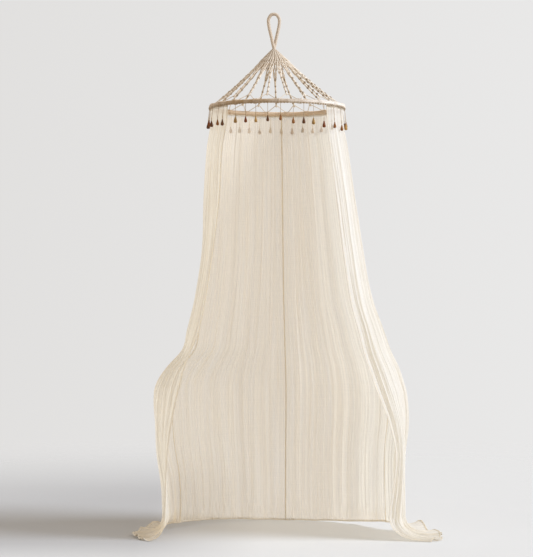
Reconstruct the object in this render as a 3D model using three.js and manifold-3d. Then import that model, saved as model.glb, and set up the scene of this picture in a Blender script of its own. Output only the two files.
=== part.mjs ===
// A hanging canopy: a rope loop, a knotted macrame crown, a wrapped hoop, drop beads and four gauze panels.
// Millimetres, +Z up, seen from the front along +Y. Heights are measured from the floor that the hem
// reaches, and the whole is then set so that the hook point inside the loop is the origin.
import * as THREE from "three";
import { mergeVertices } from "three/addons/utils/BufferGeometryUtils.js";
import Module from "manifold-3d";

// Clearance between pieces that touch on the real object, and how near two corners are one
const GAP = 0.3;
const MERGE_WITHIN = 1e-3;

// Hoop
const HOOP_RADIUS = 297;
const HOOP_TUBE_RADIUS = 8;
const HOOP_HEIGHT = 1929;
const HOOP_STEPS = 64;
const HOOP_SIDES = 8;

// Hanging loop and its bound neck
const ROPE_RADIUS = 7;
const ROPE_SIDES = 8;
const ROPE_STEPS = 28;
const LOOP_TOP = 2349;
const HOOK_HEIGHT = LOOP_TOP - ROPE_RADIUS;
const HOOK_OFFSET = -14;
const NECK_BOTTOM = 2196;
const NECK_TOP = 2238;
const NECK_RADIUS = 10;
const NECK_RIDGE = 1.2;
const NECK_RIDGES = 4;
const NECK_SIDES = 12;
const LOOP_HALF = [
  { out: 14, height: 2344 },
  { out: 24.5, height: 2324 },
  { out: 22.5, height: 2294 },
  { out: 14, height: 2260 },
  { out: 7, height: 2232 },
  { out: 4, height: 2212 },
];

// Macrame crown
const STRAND_COUNT = 19;
const STRAND_HALF = 4;
const STRAND_SAG = 12;
const HEAD_TOP_RADIUS = 10;
const HEAD_RIM_RADIUS = 53;
const HEAD_WALL = 10;
const SLANT_TOP = NECK_BOTTOM - GAP - HEAD_WALL / 2;
const STRAND_ROOT = 5;
const SPLIT_LENGTH = 60;
const SPLIT_REACH = 0.42;
const KNOT_LENGTH = 24;
const KNOT_ROWS = [
  { back: 1, half: 4 },
  { back: 0.75, half: 6.2 },
  { back: 0.5, half: 4.6 },
  { back: 0.25, half: 6.2 },
  { back: 0, half: 4.4 },
];
const LEG_ROOT = 2;
const LEG_RADIUS = 2.4;
const LEG_SIDES = 4;
const LEG_END_CLEAR = 1.6;

// Drop beads on strings from a strip under the hoop's outer side. A string that hangs over cloth leans out
// by a share of its drop.
const STRIP_RADIUS = 1.5;
const STRING_RADIUS = 1.1;
const STRING_SIDES = 3;
const STRING_DROP = 57;
const STRING_LEAN = 0.1;
const BEAD_LENGTH = 28;
const BEAD_RADIUS = 6.5;
const BEAD_SIDES = 6;
const BEAD_UNEVEN = 3;
const BEAD_UNEVEN_TURN = 2.4;
const BEAD_PROFILE = [
  { out: 0.7, down: 1 },
  { out: 1, down: 0.82 },
  { out: 0.62, down: 0.4 },
  { out: 0.3, down: 0 },
];
const FRONT_BEADS = [
  { turn: -70, drop: 61 },
  { turn: -58, drop: 61 },
  { turn: -51, drop: 63 },
  { turn: -37, drop: 55 },
  { turn: -27, drop: 58 },
  { turn: -18, drop: 59 },
  { turn: -8, drop: 56 },
  { turn: 2.5, drop: 52 },
  { turn: 13, drop: 65 },
  { turn: 22, drop: 62 },
  { turn: 31, drop: 63 },
  { turn: 42, drop: 73 },
  { turn: 54, drop: 74 },
  { turn: 66, drop: 82 },
  { turn: 81, drop: 71 },
];
const OTHER_BEADS = 21;
const BEAD_TONES = [0xb8873f, 0x7a3b1f, 0xc79a52, 0x5a2c1c, 0xa8642e];

// Gauze panels. Lines across run from -2 and 2 at the front edges, by the side seams at -1 and 1, to the
// back seam at 0.
const CLOTH_THICK = 2;
const CLOTH_TOP = HOOP_HEIGHT - HOOP_TUBE_RADIUS - GAP;
const SIDE_SEAM_TURN = THREE.MathUtils.degToRad(63);
const BACK_SEAM_TURN = THREE.MathUtils.degToRad(4.5);
const PANEL_COLUMNS = 24;
const BEND_HEIGHT = 110;
const HEM_HEIGHT = 2;
const TAIL_STEPS = 4;
const TAIL_SPREAD = 1 / 700;

// The cloth's outline at each height: half widths, depth behind the axis, and where its front edges hang
const SECTIONS = [
  { height: 0, left: 501, right: 566, back: 495, leftEdge: 492, rightEdge: 497, forward: 125 },
  { height: 110, left: 499, right: 564, back: 495, leftEdge: 490, rightEdge: 497, forward: 121 },
  { height: 246, left: 506, right: 561, back: 495, leftEdge: 487, rightEdge: 518, forward: 131 },
  { height: 386, left: 530, right: 565, back: 494, leftEdge: 480, rightEdge: 526, forward: 150 },
  { height: 520, left: 542, right: 579, back: 486, leftEdge: 462, rightEdge: 496, forward: 170 },
  { height: 646, left: 543, right: 575, back: 466, leftEdge: 435, rightEdge: 446, forward: 186 },
  { height: 700, left: 527, right: 562, back: 450, leftEdge: 421, rightEdge: 425, forward: 187 },
  { height: 760, left: 485, right: 543, back: 428, leftEdge: 407, rightEdge: 404, forward: 188 },
  { height: 835, left: 421, right: 506, back: 402, leftEdge: 378, rightEdge: 380, forward: 190 },
  { height: 930, left: 397, right: 472, back: 378, leftEdge: 340, rightEdge: 357, forward: 193 },
  { height: 1064, left: 367, right: 425, back: 356, leftEdge: 311, rightEdge: 322, forward: 196 },
  { height: 1289, left: 334, right: 383, back: 332, leftEdge: 277, rightEdge: 287, forward: 199 },
  { height: 1514, left: 327, right: 348, back: 318, leftEdge: 251, rightEdge: 260, forward: 202 },
  { height: 1739, left: 314, right: 317, back: 308, leftEdge: 238, rightEdge: 228, forward: 204 },
  { height: 1845, left: 298, right: 298, back: 298, leftEdge: 220, rightEdge: 217, forward: 204 },
  { height: 1924, left: 297, right: 297, back: 297, leftEdge: 216, rightEdge: 213, forward: 204 },
];

// Main folds, by their line across, half width across, and height out of the cloth at the hoop and low down
const FOLDS = [
  { across: -1.97, width: 0.07, top: 2, low: 7 },
  { across: -1.8, width: 0.1, top: -2, low: -9 },
  { across: -1.66, width: 0.07, top: 2, low: 8 },
  { across: -1.5, width: 0.09, top: -2, low: -7 },
  { across: -1.36, width: 0.08, top: 1.5, low: 9 },
  { across: -1.22, width: 0.08, top: -2, low: -6 },
  { across: -1.08, width: 0.07, top: 1.5, low: 7 },
  { across: -0.93, width: 0.09, top: 2, low: 6 },
  { across: -0.78, width: 0.07, top: -2, low: -7 },
  { across: -0.66, width: 0.08, top: 1.5, low: 8 },
  { across: -0.51, width: 0.1, top: -2, low: -6 },
  { across: -0.37, width: 0.07, top: 2, low: 7 },
  { across: -0.25, width: 0.08, top: -1.5, low: -6 },
  { across: -0.12, width: 0.07, top: 1.5, low: 5 },
  { across: 0.1, width: 0.08, top: 2, low: 6 },
  { across: 0.24, width: 0.09, top: -1.5, low: -7 },
  { across: 0.4, width: 0.08, top: 2, low: 6 },
  { across: 0.55, width: 0.07, top: -2, low: -6 },
  { across: 0.67, width: 0.09, top: 1.5, low: 8 },
  { across: 0.82, width: 0.08, top: -2, low: -7 },
  { across: 0.94, width: 0.07, top: 2, low: 6 },
  { across: 1.09, width: 0.08, top: -1.5, low: -7 },
  { across: 1.23, width: 0.09, top: 2, low: 9 },
  { across: 1.38, width: 0.07, top: -2, low: -8 },
  { across: 1.52, width: 0.1, top: 2, low: 10 },
  { across: 1.68, width: 0.08, top: -2, low: -9 },
  { across: 1.83, width: 0.09, top: 2, low: 8 },
  { across: 1.96, width: 0.06, top: -1.5, low: -6 },
];

// How far the hem runs out sideways over the floor, and how far it hangs above the floor
const HEM = [
  { across: -2, reach: 72, lift: 0 },
  { across: -1.8, reach: 135, lift: 2 },
  { across: -1.5, reach: 135, lift: 12 },
  { across: -1.2, reach: 62, lift: 28 },
  { across: -1, reach: 0, lift: 34 },
  { across: -0.6, reach: 0, lift: 24 },
  { across: 0, reach: 0, lift: 8 },
  { across: 0.6, reach: 0, lift: 18 },
  { across: 1, reach: 0, lift: 38 },
  { across: 1.2, reach: 80, lift: 30 },
  { across: 1.5, reach: 160, lift: 12 },
  { across: 1.8, reach: 190, lift: 2 },
  { across: 2, reach: 182, lift: 0 },
];

// Ruffles that stand up in the hem on the floor
const RUFFLES = [
  { across: -1.93, width: 0.06, lift: 8 },
  { across: -1.8, width: 0.07, lift: 15 },
  { across: -1.64, width: 0.07, lift: 10 },
  { across: -1.48, width: 0.08, lift: 17 },
  { across: -1.28, width: 0.1, lift: 22 },
  { across: 1.27, width: 0.1, lift: 30 },
  { across: 1.46, width: 0.08, lift: 14 },
  { across: 1.63, width: 0.07, lift: 19 },
  { across: 1.79, width: 0.07, lift: 12 },
  { across: 1.94, width: 0.06, lift: 10 },
];

const PANELS = [
  { name: "panel_left_front", from: -2, to: -1 },
  { name: "panel_left_back", from: -1, to: 0 },
  { name: "panel_right_back", from: 0, to: 1 },
  { name: "panel_right_front", from: 1, to: 2 },
];

const wasm = await Module();
wasm.setup();

const cottonGauze = new THREE.MeshStandardMaterial({ color: 0xe9dfc9, roughness: 0.92 });
const cottonCord = new THREE.MeshStandardMaterial({ color: 0xdccbb0, roughness: 0.88 });
const hoopWrap = new THREE.MeshStandardMaterial({ color: 0xc9b595, roughness: 0.85 });
const beadWoods = BEAD_TONES.map((color) => new THREE.MeshStandardMaterial({ color, roughness: 0.45 }));

// A closed geometry as a solid that can be joined to others.
function solidOf(geometry) {
  const plain = geometry.clone();
  plain.deleteAttribute("normal");
  plain.deleteAttribute("uv");
  const merged = mergeVertices(plain, MERGE_WITHIN);
  const vertProperties = new Float32Array(merged.attributes.position.array);
  const triVerts = new Uint32Array(merged.index.array);
  return new wasm.Manifold(new wasm.Mesh({ numProp: 3, vertProperties, triVerts }));
}

// Several closed geometries joined into one.
function joined(geometries) {
  const [first, ...others] = geometries.map(solidOf);
  const mesh = others.reduce((whole, piece) => whole.add(piece), first).getMesh();
  const geometry = new THREE.BufferGeometry();
  geometry.setAttribute("position", new THREE.BufferAttribute(mesh.vertProperties, 3));
  geometry.setIndex(new THREE.BufferAttribute(mesh.triVerts, 1));
  geometry.computeVertexNormals();
  return geometry;
}

// A regular section with a given number of sides, as wide across its corners as twice the radius.
function sectionOf(sides, radius) {
  const corners = Array.from({ length: sides }, (_, i) => {
    const angle = (2 * Math.PI * (i + 0.5)) / sides;
    return new THREE.Vector2(radius * Math.cos(angle), radius * Math.sin(angle));
  });
  return new THREE.Shape(corners);
}

function tubeAlong(path, sides, radius, steps) {
  return new THREE.ExtrudeGeometry(sectionOf(sides, radius), { steps, extrudePath: path });
}

// A turned solid about the vertical axis, from a profile of out and up.
function turned(profile, steps) {
  const points = profile.map(([out, up]) => new THREE.Vector2(out, up));
  return new THREE.LatheGeometry(points, steps).rotateX(Math.PI / 2);
}

// The value of a column between a table's rows, smooth through each row.
function smoothAt(rows, key, column, at) {
  const last = rows.length - 1;
  let i = 0;
  while (i < last - 1 && rows[i + 1][key] < at) i += 1;
  const slope = (k) => {
    const before = rows[Math.max(k - 1, 0)];
    const after = rows[Math.min(k + 1, last)];
    return (after[column] - before[column]) / (after[key] - before[key]);
  };
  const span = rows[i + 1][key] - rows[i][key];
  const t = (at - rows[i][key]) / span;
  const ease = t * t * (3 - 2 * t);
  const leave = t * (1 - t) * (1 - t) * span * slope(i);
  const arrive = t * t * (t - 1) * span * slope(i + 1);
  return rows[i][column] + (rows[i + 1][column] - rows[i][column]) * ease + leave + arrive;
}

// A smooth hump of height 1 at 0, level with the cloth at 1 either way.
function hump(t) {
  return Math.abs(t) < 1 ? 0.5 + 0.5 * Math.cos(Math.PI * t) : 0;
}

// The turn from the back, in the cloth's outline, of a line across. Seams keep their turn at every height.
function turnAt(across, edgeTurn) {
  const past = Math.max(Math.abs(across) - 1, 0);
  const within = Math.sign(across) * Math.min(Math.abs(across), 1);
  const spread = SIDE_SEAM_TURN - Math.sign(across) * BACK_SEAM_TURN;
  return BACK_SEAM_TURN + within * spread + Math.sign(across) * past * (edgeTurn - SIDE_SEAM_TURN);
}

// Where the cloth's smooth outline lies at a line across and a height, and the way it faces there.
function outlineAt(across, height) {
  const column = (name) => smoothAt(SECTIONS, "height", name, height);
  const halfOf = (side) => column(side < 0 ? "left" : "right");
  const edgeSide = across < 0 ? -1 : 1;
  const edge = column(edgeSide < 0 ? "leftEdge" : "rightEdge");
  const edgeTurn = Math.PI - Math.asin(edge / halfOf(edgeSide));
  const turn = turnAt(across, edgeTurn);
  const half = halfOf(Math.sign(turn));
  const depth = Math.cos(turn) > 0 ? column("back") : column("forward") / -Math.cos(edgeTurn);
  const point = new THREE.Vector3(half * Math.sin(turn), depth * Math.cos(turn), height);
  const facing = new THREE.Vector3(Math.sin(turn) / half, Math.cos(turn) / depth, 0).normalize();
  return { point, facing };
}

// The middle of the cloth. Fall goes from 0 at the hoop to 1 where the cloth bends, and to 2 at its hem.
function clothPoint(across, fall) {
  const lying = Math.max(fall - 1, 0);
  const hanging = CLOTH_TOP + (BEND_HEIGHT - CLOTH_TOP) * Math.min(fall, 1);
  const height = lying > 0 ? HEM_HEIGHT + (BEND_HEIGHT - HEM_HEIGHT) * (1 - lying) ** 2 : hanging;
  const { point, facing } = outlineAt(across, height);
  const low = Math.min(fall, 1);
  const fold = FOLDS.reduce((sum, row) => {
    return sum + (row.top + (row.low - row.top) * low) * hump((across - row.across) / row.width);
  }, 0);
  point.addScaledVector(facing, fold);
  const flow = Math.max(smoothAt(HEM, "across", "reach", across), 0) * lying ** 2;
  point.add(new THREE.Vector3(Math.sign(across) * flow, flow * TAIL_SPREAD * point.y, 0));
  const ruffle = RUFFLES.reduce((sum, row) => sum + row.lift * hump((across - row.across) / row.width), 0);
  point.z += smoothAt(HEM, "across", "lift", across) * lying + ruffle * lying ** 3;
  return point;
}

// The way the cloth faces, outwards when it hangs and upwards when it lies.
function clothFacing(across, fall) {
  const nearby = 0.02;
  const before = fall > nearby ? fall - nearby : fall;
  const downward = clothPoint(across, before + nearby).sub(clothPoint(across, before));
  const sideward = clothPoint(across + nearby, fall).sub(clothPoint(across - nearby, fall));
  return downward.cross(sideward).normalize();
}

// One panel as a thin closed sheet: its outer face, its inner face and the rim between them.
function panelGeometry(from, to) {
  const seamGap = GAP / 2 / (SIDE_SEAM_TURN * HOOP_RADIUS);
  const hangFalls = SECTIONS.slice(1, -1).map((row) => (CLOTH_TOP - row.height) / (CLOTH_TOP - BEND_HEIGHT));
  const tailFalls = Array.from({ length: TAIL_STEPS }, (_, i) => 1 + (i + 1) / TAIL_STEPS);
  const falls = [0, ...hangFalls.reverse(), ...tailFalls];
  const wide = PANEL_COLUMNS + 1;
  const count = wide * falls.length;
  const positions = [];
  for (const out of [CLOTH_THICK / 2, -CLOTH_THICK / 2]) {
    for (const fall of falls) {
      for (let column = 0; column < wide; column += 1) {
        const across = from + seamGap + ((to - from - 2 * seamGap) * column) / PANEL_COLUMNS;
        const point = clothPoint(across, fall).addScaledVector(clothFacing(across, fall), out);
        positions.push(point.x, point.y, point.z);
      }
    }
  }
  const indices = [];
  const quad = (a, b, c, d) => indices.push(a, b, c, a, c, d);
  for (let row = 0; row < falls.length - 1; row += 1) {
    for (let column = 0; column < PANEL_COLUMNS; column += 1) {
      const a = row * wide + column;
      quad(a, a + wide, a + wide + 1, a + 1);
      quad(count + a, count + a + 1, count + a + wide + 1, count + a + wide);
    }
    const left = row * wide;
    const right = left + PANEL_COLUMNS;
    quad(left, count + left, count + left + wide, left + wide);
    quad(right, right + wide, count + right + wide, count + right);
  }
  for (let column = 0; column < PANEL_COLUMNS; column += 1) {
    const hem = (falls.length - 1) * wide + column;
    quad(column, column + 1, count + column + 1, count + column);
    quad(hem, count + hem, count + hem + 1, hem + 1);
  }
  const geometry = new THREE.BufferGeometry();
  geometry.setAttribute("position", new THREE.BufferAttribute(new Float32Array(positions), 3));
  geometry.setIndex(indices);
  geometry.computeVertexNormals();
  return geometry;
}

// The rope loop with the binding that closes it.
function loopGeometry() {
  const right = LOOP_HALF.map((row) => new THREE.Vector3(HOOK_OFFSET + row.out, 0, row.height));
  const left = LOOP_HALF.map((row) => new THREE.Vector3(HOOK_OFFSET - row.out, 0, row.height)).reverse();
  const top = new THREE.Vector3(HOOK_OFFSET, 0, LOOP_TOP);
  const path = new THREE.CatmullRomCurve3([...left, top, ...right]);
  const rope = tubeAlong(path, ROPE_SIDES, ROPE_RADIUS, ROPE_STEPS);
  const profile = [
    [0, NECK_BOTTOM],
    [NECK_RADIUS, NECK_BOTTOM],
  ];
  const pitch = (NECK_TOP - NECK_BOTTOM) / NECK_RIDGES;
  for (let i = 0; i < NECK_RIDGES; i += 1) {
    profile.push([NECK_RADIUS + NECK_RIDGE, NECK_BOTTOM + (i + 0.5) * pitch]);
    profile.push([NECK_RADIUS, NECK_BOTTOM + (i + 1) * pitch]);
  }
  profile.push([0, NECK_TOP]);
  const neck = turned(profile, NECK_SIDES).translate(HOOK_OFFSET, 0, 0);
  return joined([neck, rope]);
}

// A point on the straight line from the crown's top to the hoop, at a turn about the axis.
function slantPoint(turn, share) {
  const apex = new THREE.Vector3(
    HOOK_OFFSET + HEAD_TOP_RADIUS * Math.cos(turn),
    HEAD_TOP_RADIUS * Math.sin(turn),
    SLANT_TOP,
  );
  const foot = new THREE.Vector3(HOOP_RADIUS * Math.cos(turn), HOOP_RADIUS * Math.sin(turn), HOOP_HEIGHT);
  return apex.lerp(foot, share);
}

// The cone where all strands lie side by side under the neck, with a facet for each strand.
function crownHead() {
  const top = NECK_BOTTOM - GAP;
  const run = new THREE.Vector2(HOOP_RADIUS - HEAD_TOP_RADIUS, HOOP_HEIGHT - SLANT_TOP).normalize();
  const length = (HEAD_RIM_RADIUS - HEAD_TOP_RADIUS) / run.x;
  const rim = new THREE.Vector2(HEAD_TOP_RADIUS, SLANT_TOP).addScaledVector(run, length);
  const across = new THREE.Vector2(-run.y, run.x).multiplyScalar(HEAD_WALL / 2);
  const profile = [
    [0, top - 2 * HEAD_WALL],
    [rim.x - across.x, rim.y - across.y],
    [rim.x + across.x, rim.y + across.y],
    [HEAD_TOP_RADIUS, top],
    [0, top],
  ];
  return turned(profile, STRAND_COUNT).translate(HOOK_OFFSET, 0, 0);
}

// A closed bar of square section through a row of places, each with its own half width.
function barThrough(places, halves, sideways, facing) {
  const corners = [
    [1, 1],
    [-1, 1],
    [-1, -1],
    [1, -1],
  ];
  const positions = places.flatMap((place, i) => {
    return corners.flatMap(([side, out]) => {
      const corner = place.clone().addScaledVector(sideways, side * halves[i]);
      return corner.addScaledVector(facing, out * halves[i]).toArray();
    });
  });
  const indices = [0, 2, 1, 0, 3, 2];
  const end = 4 * (places.length - 1);
  indices.push(end, end + 1, end + 2, end, end + 2, end + 3);
  for (let at = 0; at < end; at += 4) {
    for (let i = 0; i < 4; i += 1) {
      const next = (i + 1) % 4;
      indices.push(at + i, at + next, at + 4 + next, at + i, at + 4 + next, at + 4 + i);
    }
  }
  const geometry = new THREE.BufferGeometry();
  geometry.setAttribute("position", new THREE.BufferAttribute(new Float32Array(positions), 3));
  geometry.setIndex(indices);
  return geometry;
}

// One knotted strand with a ridged knot halfway and at its foot, and the two cords that spread to the hoop.
function crownStrand(turn) {
  const top = slantPoint(turn, 0);
  const along = slantPoint(turn, 1).sub(top);
  const slant = along.length();
  along.normalize();
  const sideways = new THREE.Vector3(-Math.sin(turn), Math.cos(turn), 0);
  const facing = along.clone().cross(sideways).normalize();
  const start = ((HEAD_RIM_RADIUS - HEAD_TOP_RADIUS) / (HOOP_RADIUS - HEAD_TOP_RADIUS)) * slant - STRAND_ROOT;
  const foot = slant - SPLIT_LENGTH;
  const middle = (start + foot) / 2;
  const plainAt = (at) => ({ at, half: STRAND_HALF });
  const knotTo = (end) => KNOT_ROWS.map((row) => ({ at: end - row.back * KNOT_LENGTH, half: row.half }));
  const rows = [
    plainAt(start),
    plainAt((start + middle) / 2),
    ...knotTo(middle),
    plainAt((middle + foot) / 2),
    ...knotTo(foot),
  ];
  const places = rows.map((row) => {
    const sag = row.at > start ? STRAND_SAG * Math.sin((Math.PI * row.at) / slant) : 0;
    return top.clone().addScaledVector(along, row.at).add(new THREE.Vector3(0, 0, -sag));
  });
  const strand = barThrough(places, rows.map((row) => row.half), sideways, facing);
  const step = (2 * Math.PI) / STRAND_COUNT;
  const legs = [-1, 1].map((way) => {
    const aim = turn + way * SPLIT_REACH * step;
    const seat = slantPoint(aim, 1);
    const clear = HOOP_TUBE_RADIUS + GAP + LEG_END_CLEAR;
    seat.addScaledVector(slantPoint(aim, 0).sub(seat).normalize(), clear);
    const root = places[places.length - 1].clone().addScaledVector(along, -LEG_ROOT);
    return tubeAlong(new THREE.LineCurve3(root, seat), LEG_SIDES, LEG_RADIUS, 1);
  });
  return [strand, ...legs];
}

function crownGeometry() {
  const step = (2 * Math.PI) / STRAND_COUNT;
  const front = -Math.PI / 2;
  const strands = Array.from({ length: STRAND_COUNT }, (_, i) => crownStrand(front + (i + 0.5) * step));
  return joined([crownHead(), ...strands.flat()]);
}

// Every bead's turn from the front in degrees and its drop, the front ones as they hang and the others
// evenly spread.
function beadPlaces() {
  const last = FRONT_BEADS[FRONT_BEADS.length - 1].turn;
  const round = 360 + FRONT_BEADS[0].turn - last;
  const others = Array.from({ length: OTHER_BEADS }, (_, i) => ({
    turn: last + (round * (i + 1)) / (OTHER_BEADS + 1),
    drop: STRING_DROP + BEAD_UNEVEN * Math.sin(BEAD_UNEVEN_TURN * i),
  }));
  return [...FRONT_BEADS, ...others];
}

// Where a bead's string starts on the strip and where it ends on top of the bead.
function stringEnds({ turn, drop }) {
  const angle = THREE.MathUtils.degToRad(turn);
  const outward = new THREE.Vector3(Math.sin(angle), -Math.cos(angle), 0);
  const diagonal = (HOOP_TUBE_RADIUS + GAP + STRIP_RADIUS) * Math.SQRT1_2;
  const start = outward.clone().multiplyScalar(HOOP_RADIUS + diagonal);
  start.z = HOOP_HEIGHT - diagonal;
  const edge = outlineAt(2, CLOTH_TOP).point;
  const overCloth = start.y > edge.y;
  const end = start.clone().addScaledVector(outward, overCloth ? STRING_LEAN * drop : 0);
  end.z -= drop;
  return { start, end };
}

function stringsGeometry(places) {
  const diagonal = (HOOP_TUBE_RADIUS + GAP + STRIP_RADIUS) * Math.SQRT1_2;
  const strip = new THREE.TorusGeometry(HOOP_RADIUS + diagonal, STRIP_RADIUS, 4, HOOP_STEPS);
  strip.translate(0, 0, HOOP_HEIGHT - diagonal);
  const strings = places.map((place) => {
    const { start, end } = stringEnds(place);
    return tubeAlong(new THREE.LineCurve3(start, end), STRING_SIDES, STRING_RADIUS, 1);
  });
  return joined([strip, ...strings]);
}

// A drop bead whose top is at the origin.
function beadGeometry() {
  const side = BEAD_PROFILE.map((row) => [row.out * BEAD_RADIUS, -row.down * BEAD_LENGTH]);
  return turned([[0, -BEAD_LENGTH], ...side, [0, 0]], BEAD_SIDES);
}

function addPiece(group, name, geometry, material) {
  const mesh = new THREE.Mesh(geometry, material);
  mesh.name = name;
  group.add(mesh);
  return mesh;
}

const canopy = new THREE.Group();
const hung = new THREE.Group();
hung.position.set(-HOOK_OFFSET, 0, -HOOK_HEIGHT);
canopy.add(hung);

addPiece(hung, "hanging_loop", loopGeometry(), cottonCord);
addPiece(hung, "macrame_crown", crownGeometry(), cottonCord);
const hoop = addPiece(
  hung,
  "hoop",
  new THREE.TorusGeometry(HOOP_RADIUS, HOOP_TUBE_RADIUS, HOOP_SIDES, HOOP_STEPS),
  hoopWrap,
);
hoop.position.z = HOOP_HEIGHT;

const places = beadPlaces();
addPiece(hung, "bead_strings", stringsGeometry(places), cottonCord);
places.forEach((place, index) => {
  const name = "bead_" + String(index + 1).padStart(2, "0");
  const bead = addPiece(hung, name, beadGeometry(), beadWoods[(index * 3) % beadWoods.length]);
  bead.position.copy(stringEnds(place).end);
  bead.position.z -= GAP;
});

for (const panel of PANELS) {
  addPiece(hung, panel.name, panelGeometry(panel.from, panel.to), cottonGauze);
}

export default canopy;
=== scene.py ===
# %% [markdown]
# # A macrame canopy with a hoop
#
# A rope loop carries a cone of knotted cotton strands, the cone carries a hoop with cord wound round
# it, wooden drops hang from the hoop, and four panels of crinkled gauze fall from it to the floor.
# The CAD model gives every size and place. This lesson loads it as a fixed frame and then makes each
# piece again with the detail that a solid leaves out: knots, twists, crinkles, seams and weave.

# %% Load the frame and keep the CAD box
from collections import namedtuple

import bpy
import numpy as np
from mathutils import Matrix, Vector


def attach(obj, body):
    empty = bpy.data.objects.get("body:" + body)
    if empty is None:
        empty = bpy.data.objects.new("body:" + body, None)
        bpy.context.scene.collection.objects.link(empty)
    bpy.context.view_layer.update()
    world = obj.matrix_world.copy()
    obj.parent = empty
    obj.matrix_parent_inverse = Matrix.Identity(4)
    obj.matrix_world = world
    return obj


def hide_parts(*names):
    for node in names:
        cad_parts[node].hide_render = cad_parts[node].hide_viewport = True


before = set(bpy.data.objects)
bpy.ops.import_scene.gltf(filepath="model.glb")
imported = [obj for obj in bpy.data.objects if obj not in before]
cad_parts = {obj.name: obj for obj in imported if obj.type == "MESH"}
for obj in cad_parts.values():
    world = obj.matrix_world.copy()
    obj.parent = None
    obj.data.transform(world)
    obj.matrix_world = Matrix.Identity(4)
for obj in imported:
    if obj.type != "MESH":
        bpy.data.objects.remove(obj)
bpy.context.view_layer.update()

# %% [markdown]
# ## The camera
#
# The photograph was taken from more than seven metres away with a long lens held level, so upright
# lines stay upright and the hoop looks like a flat ellipse. A level camera with a small lens shift
# gives the same view. Tilting the camera instead would make the panels lean.

# %% Camera
CAMERA_PLACE = (-0.0336, -7.417, -1.170)
LENS_MM = 106.64
SENSOR_MM = 36
LENS_SHIFT = -0.0045

lens = bpy.data.cameras.new("photo_lens")
lens.lens = LENS_MM
lens.sensor_width = SENSOR_MM
lens.shift_y = LENS_SHIFT
camera = bpy.data.objects.new("photo_camera", lens)
camera.location = CAMERA_PLACE
camera.rotation_euler = (np.pi / 2, 0, 0)
bpy.context.scene.collection.objects.link(camera)
bpy.context.scene.camera = camera
print("camera", CAMERA_PLACE, "lens", LENS_MM)

# %% [markdown]
# ## Writing nodes as sums
#
# Finishes and Geometry Nodes are both trees of nodes. A small class holds one output of a node and
# turns Python arithmetic on it into Math nodes, so that a pattern reads like the formula it is. Every
# other node comes from one method, which sets a node's options first, because they decide which
# sockets it has, and then fills or links its sockets.


# %% Wires
class Wire:
    """One output of a node. Arithmetic on it adds Math nodes to the same tree."""

    def __init__(self, tree, socket):
        self.tree = tree
        self.socket = socket

    def out(self, name):
        """Another output of the same node."""
        return Wire(self.tree, self.socket.node.outputs[name])

    def math(self, operation, first, second=0.0):
        return self.tree.add("ShaderNodeMath", {"operation": operation}, {0: first, 1: second})

    def __add__(self, other):
        return self.math("ADD", self, other)

    def __sub__(self, other):
        return self.math("SUBTRACT", self, other)

    def __rsub__(self, other):
        return self.math("SUBTRACT", other, self)

    def __mul__(self, other):
        return self.math("MULTIPLY", self, other)

    __radd__ = __add__
    __rmul__ = __mul__

    def __abs__(self):
        return self.math("ABSOLUTE", self)

    def sine(self):
        return self.math("SINE", self)


print("wires ready")


# %% Trees and finishes
class Tree:
    """A node tree, and the one method that makes any node in it."""

    def __init__(self, nodes):
        self.nodes = nodes

    def add(self, kind, settings=None, sockets=None, output=0):
        node = self.nodes.nodes.new(kind)
        for name, value in (settings or {}).items():
            setattr(node, name, value)
        for name, value in (sockets or {}).items():
            if isinstance(value, Wire):
                self.nodes.links.new(value.socket, node.inputs[name])
            else:
                node.inputs[name].default_value = value
        return Wire(self, node.outputs[output]) if node.outputs else None

    def mixed(self, share, first, second, blend="MIX"):
        """Two colours mixed by a share."""
        return self.add(
            "ShaderNodeMix", {"data_type": "RGBA", "blend_type": blend}, {0: share, 6: first, 7: second}, 2
        )

    def stretched(self, vector, by):
        return self.add("ShaderNodeVectorMath", {"operation": "MULTIPLY"}, {0: vector, 1: by})

    def noise(self, vector, scale, detail):
        return self.add("ShaderNodeTexNoise", {}, {"Vector": vector, "Scale": scale, "Detail": detail})

    def between(self, value, low, high):
        """A value brought to 0 at low and 1 at high, and held there beyond them."""
        return self.add("ShaderNodeMapRange", {"clamp": True}, {"Value": value, 1: low, 2: high})

    def bump(self, height, distance):
        return self.add("ShaderNodeBump", {}, {"Height": height, "Distance": distance})

    def split(self, vector):
        """A vector's x. Its y and z are other outputs of the same node."""
        return self.add("ShaderNodeSeparateXYZ", {}, {"Vector": vector})


def new_finish(name, surface, *settings):
    """A finish, from a function that builds its surface in the finish's own tree."""
    finish = bpy.data.materials.new(name)
    finish.use_nodes = True
    finish.node_tree.nodes.clear()
    tree = Tree(finish.node_tree)
    tree.add("ShaderNodeOutputMaterial", {}, {"Surface": surface(tree, *settings)})
    print("finish", name)
    return finish


print("node helpers ready")
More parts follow.
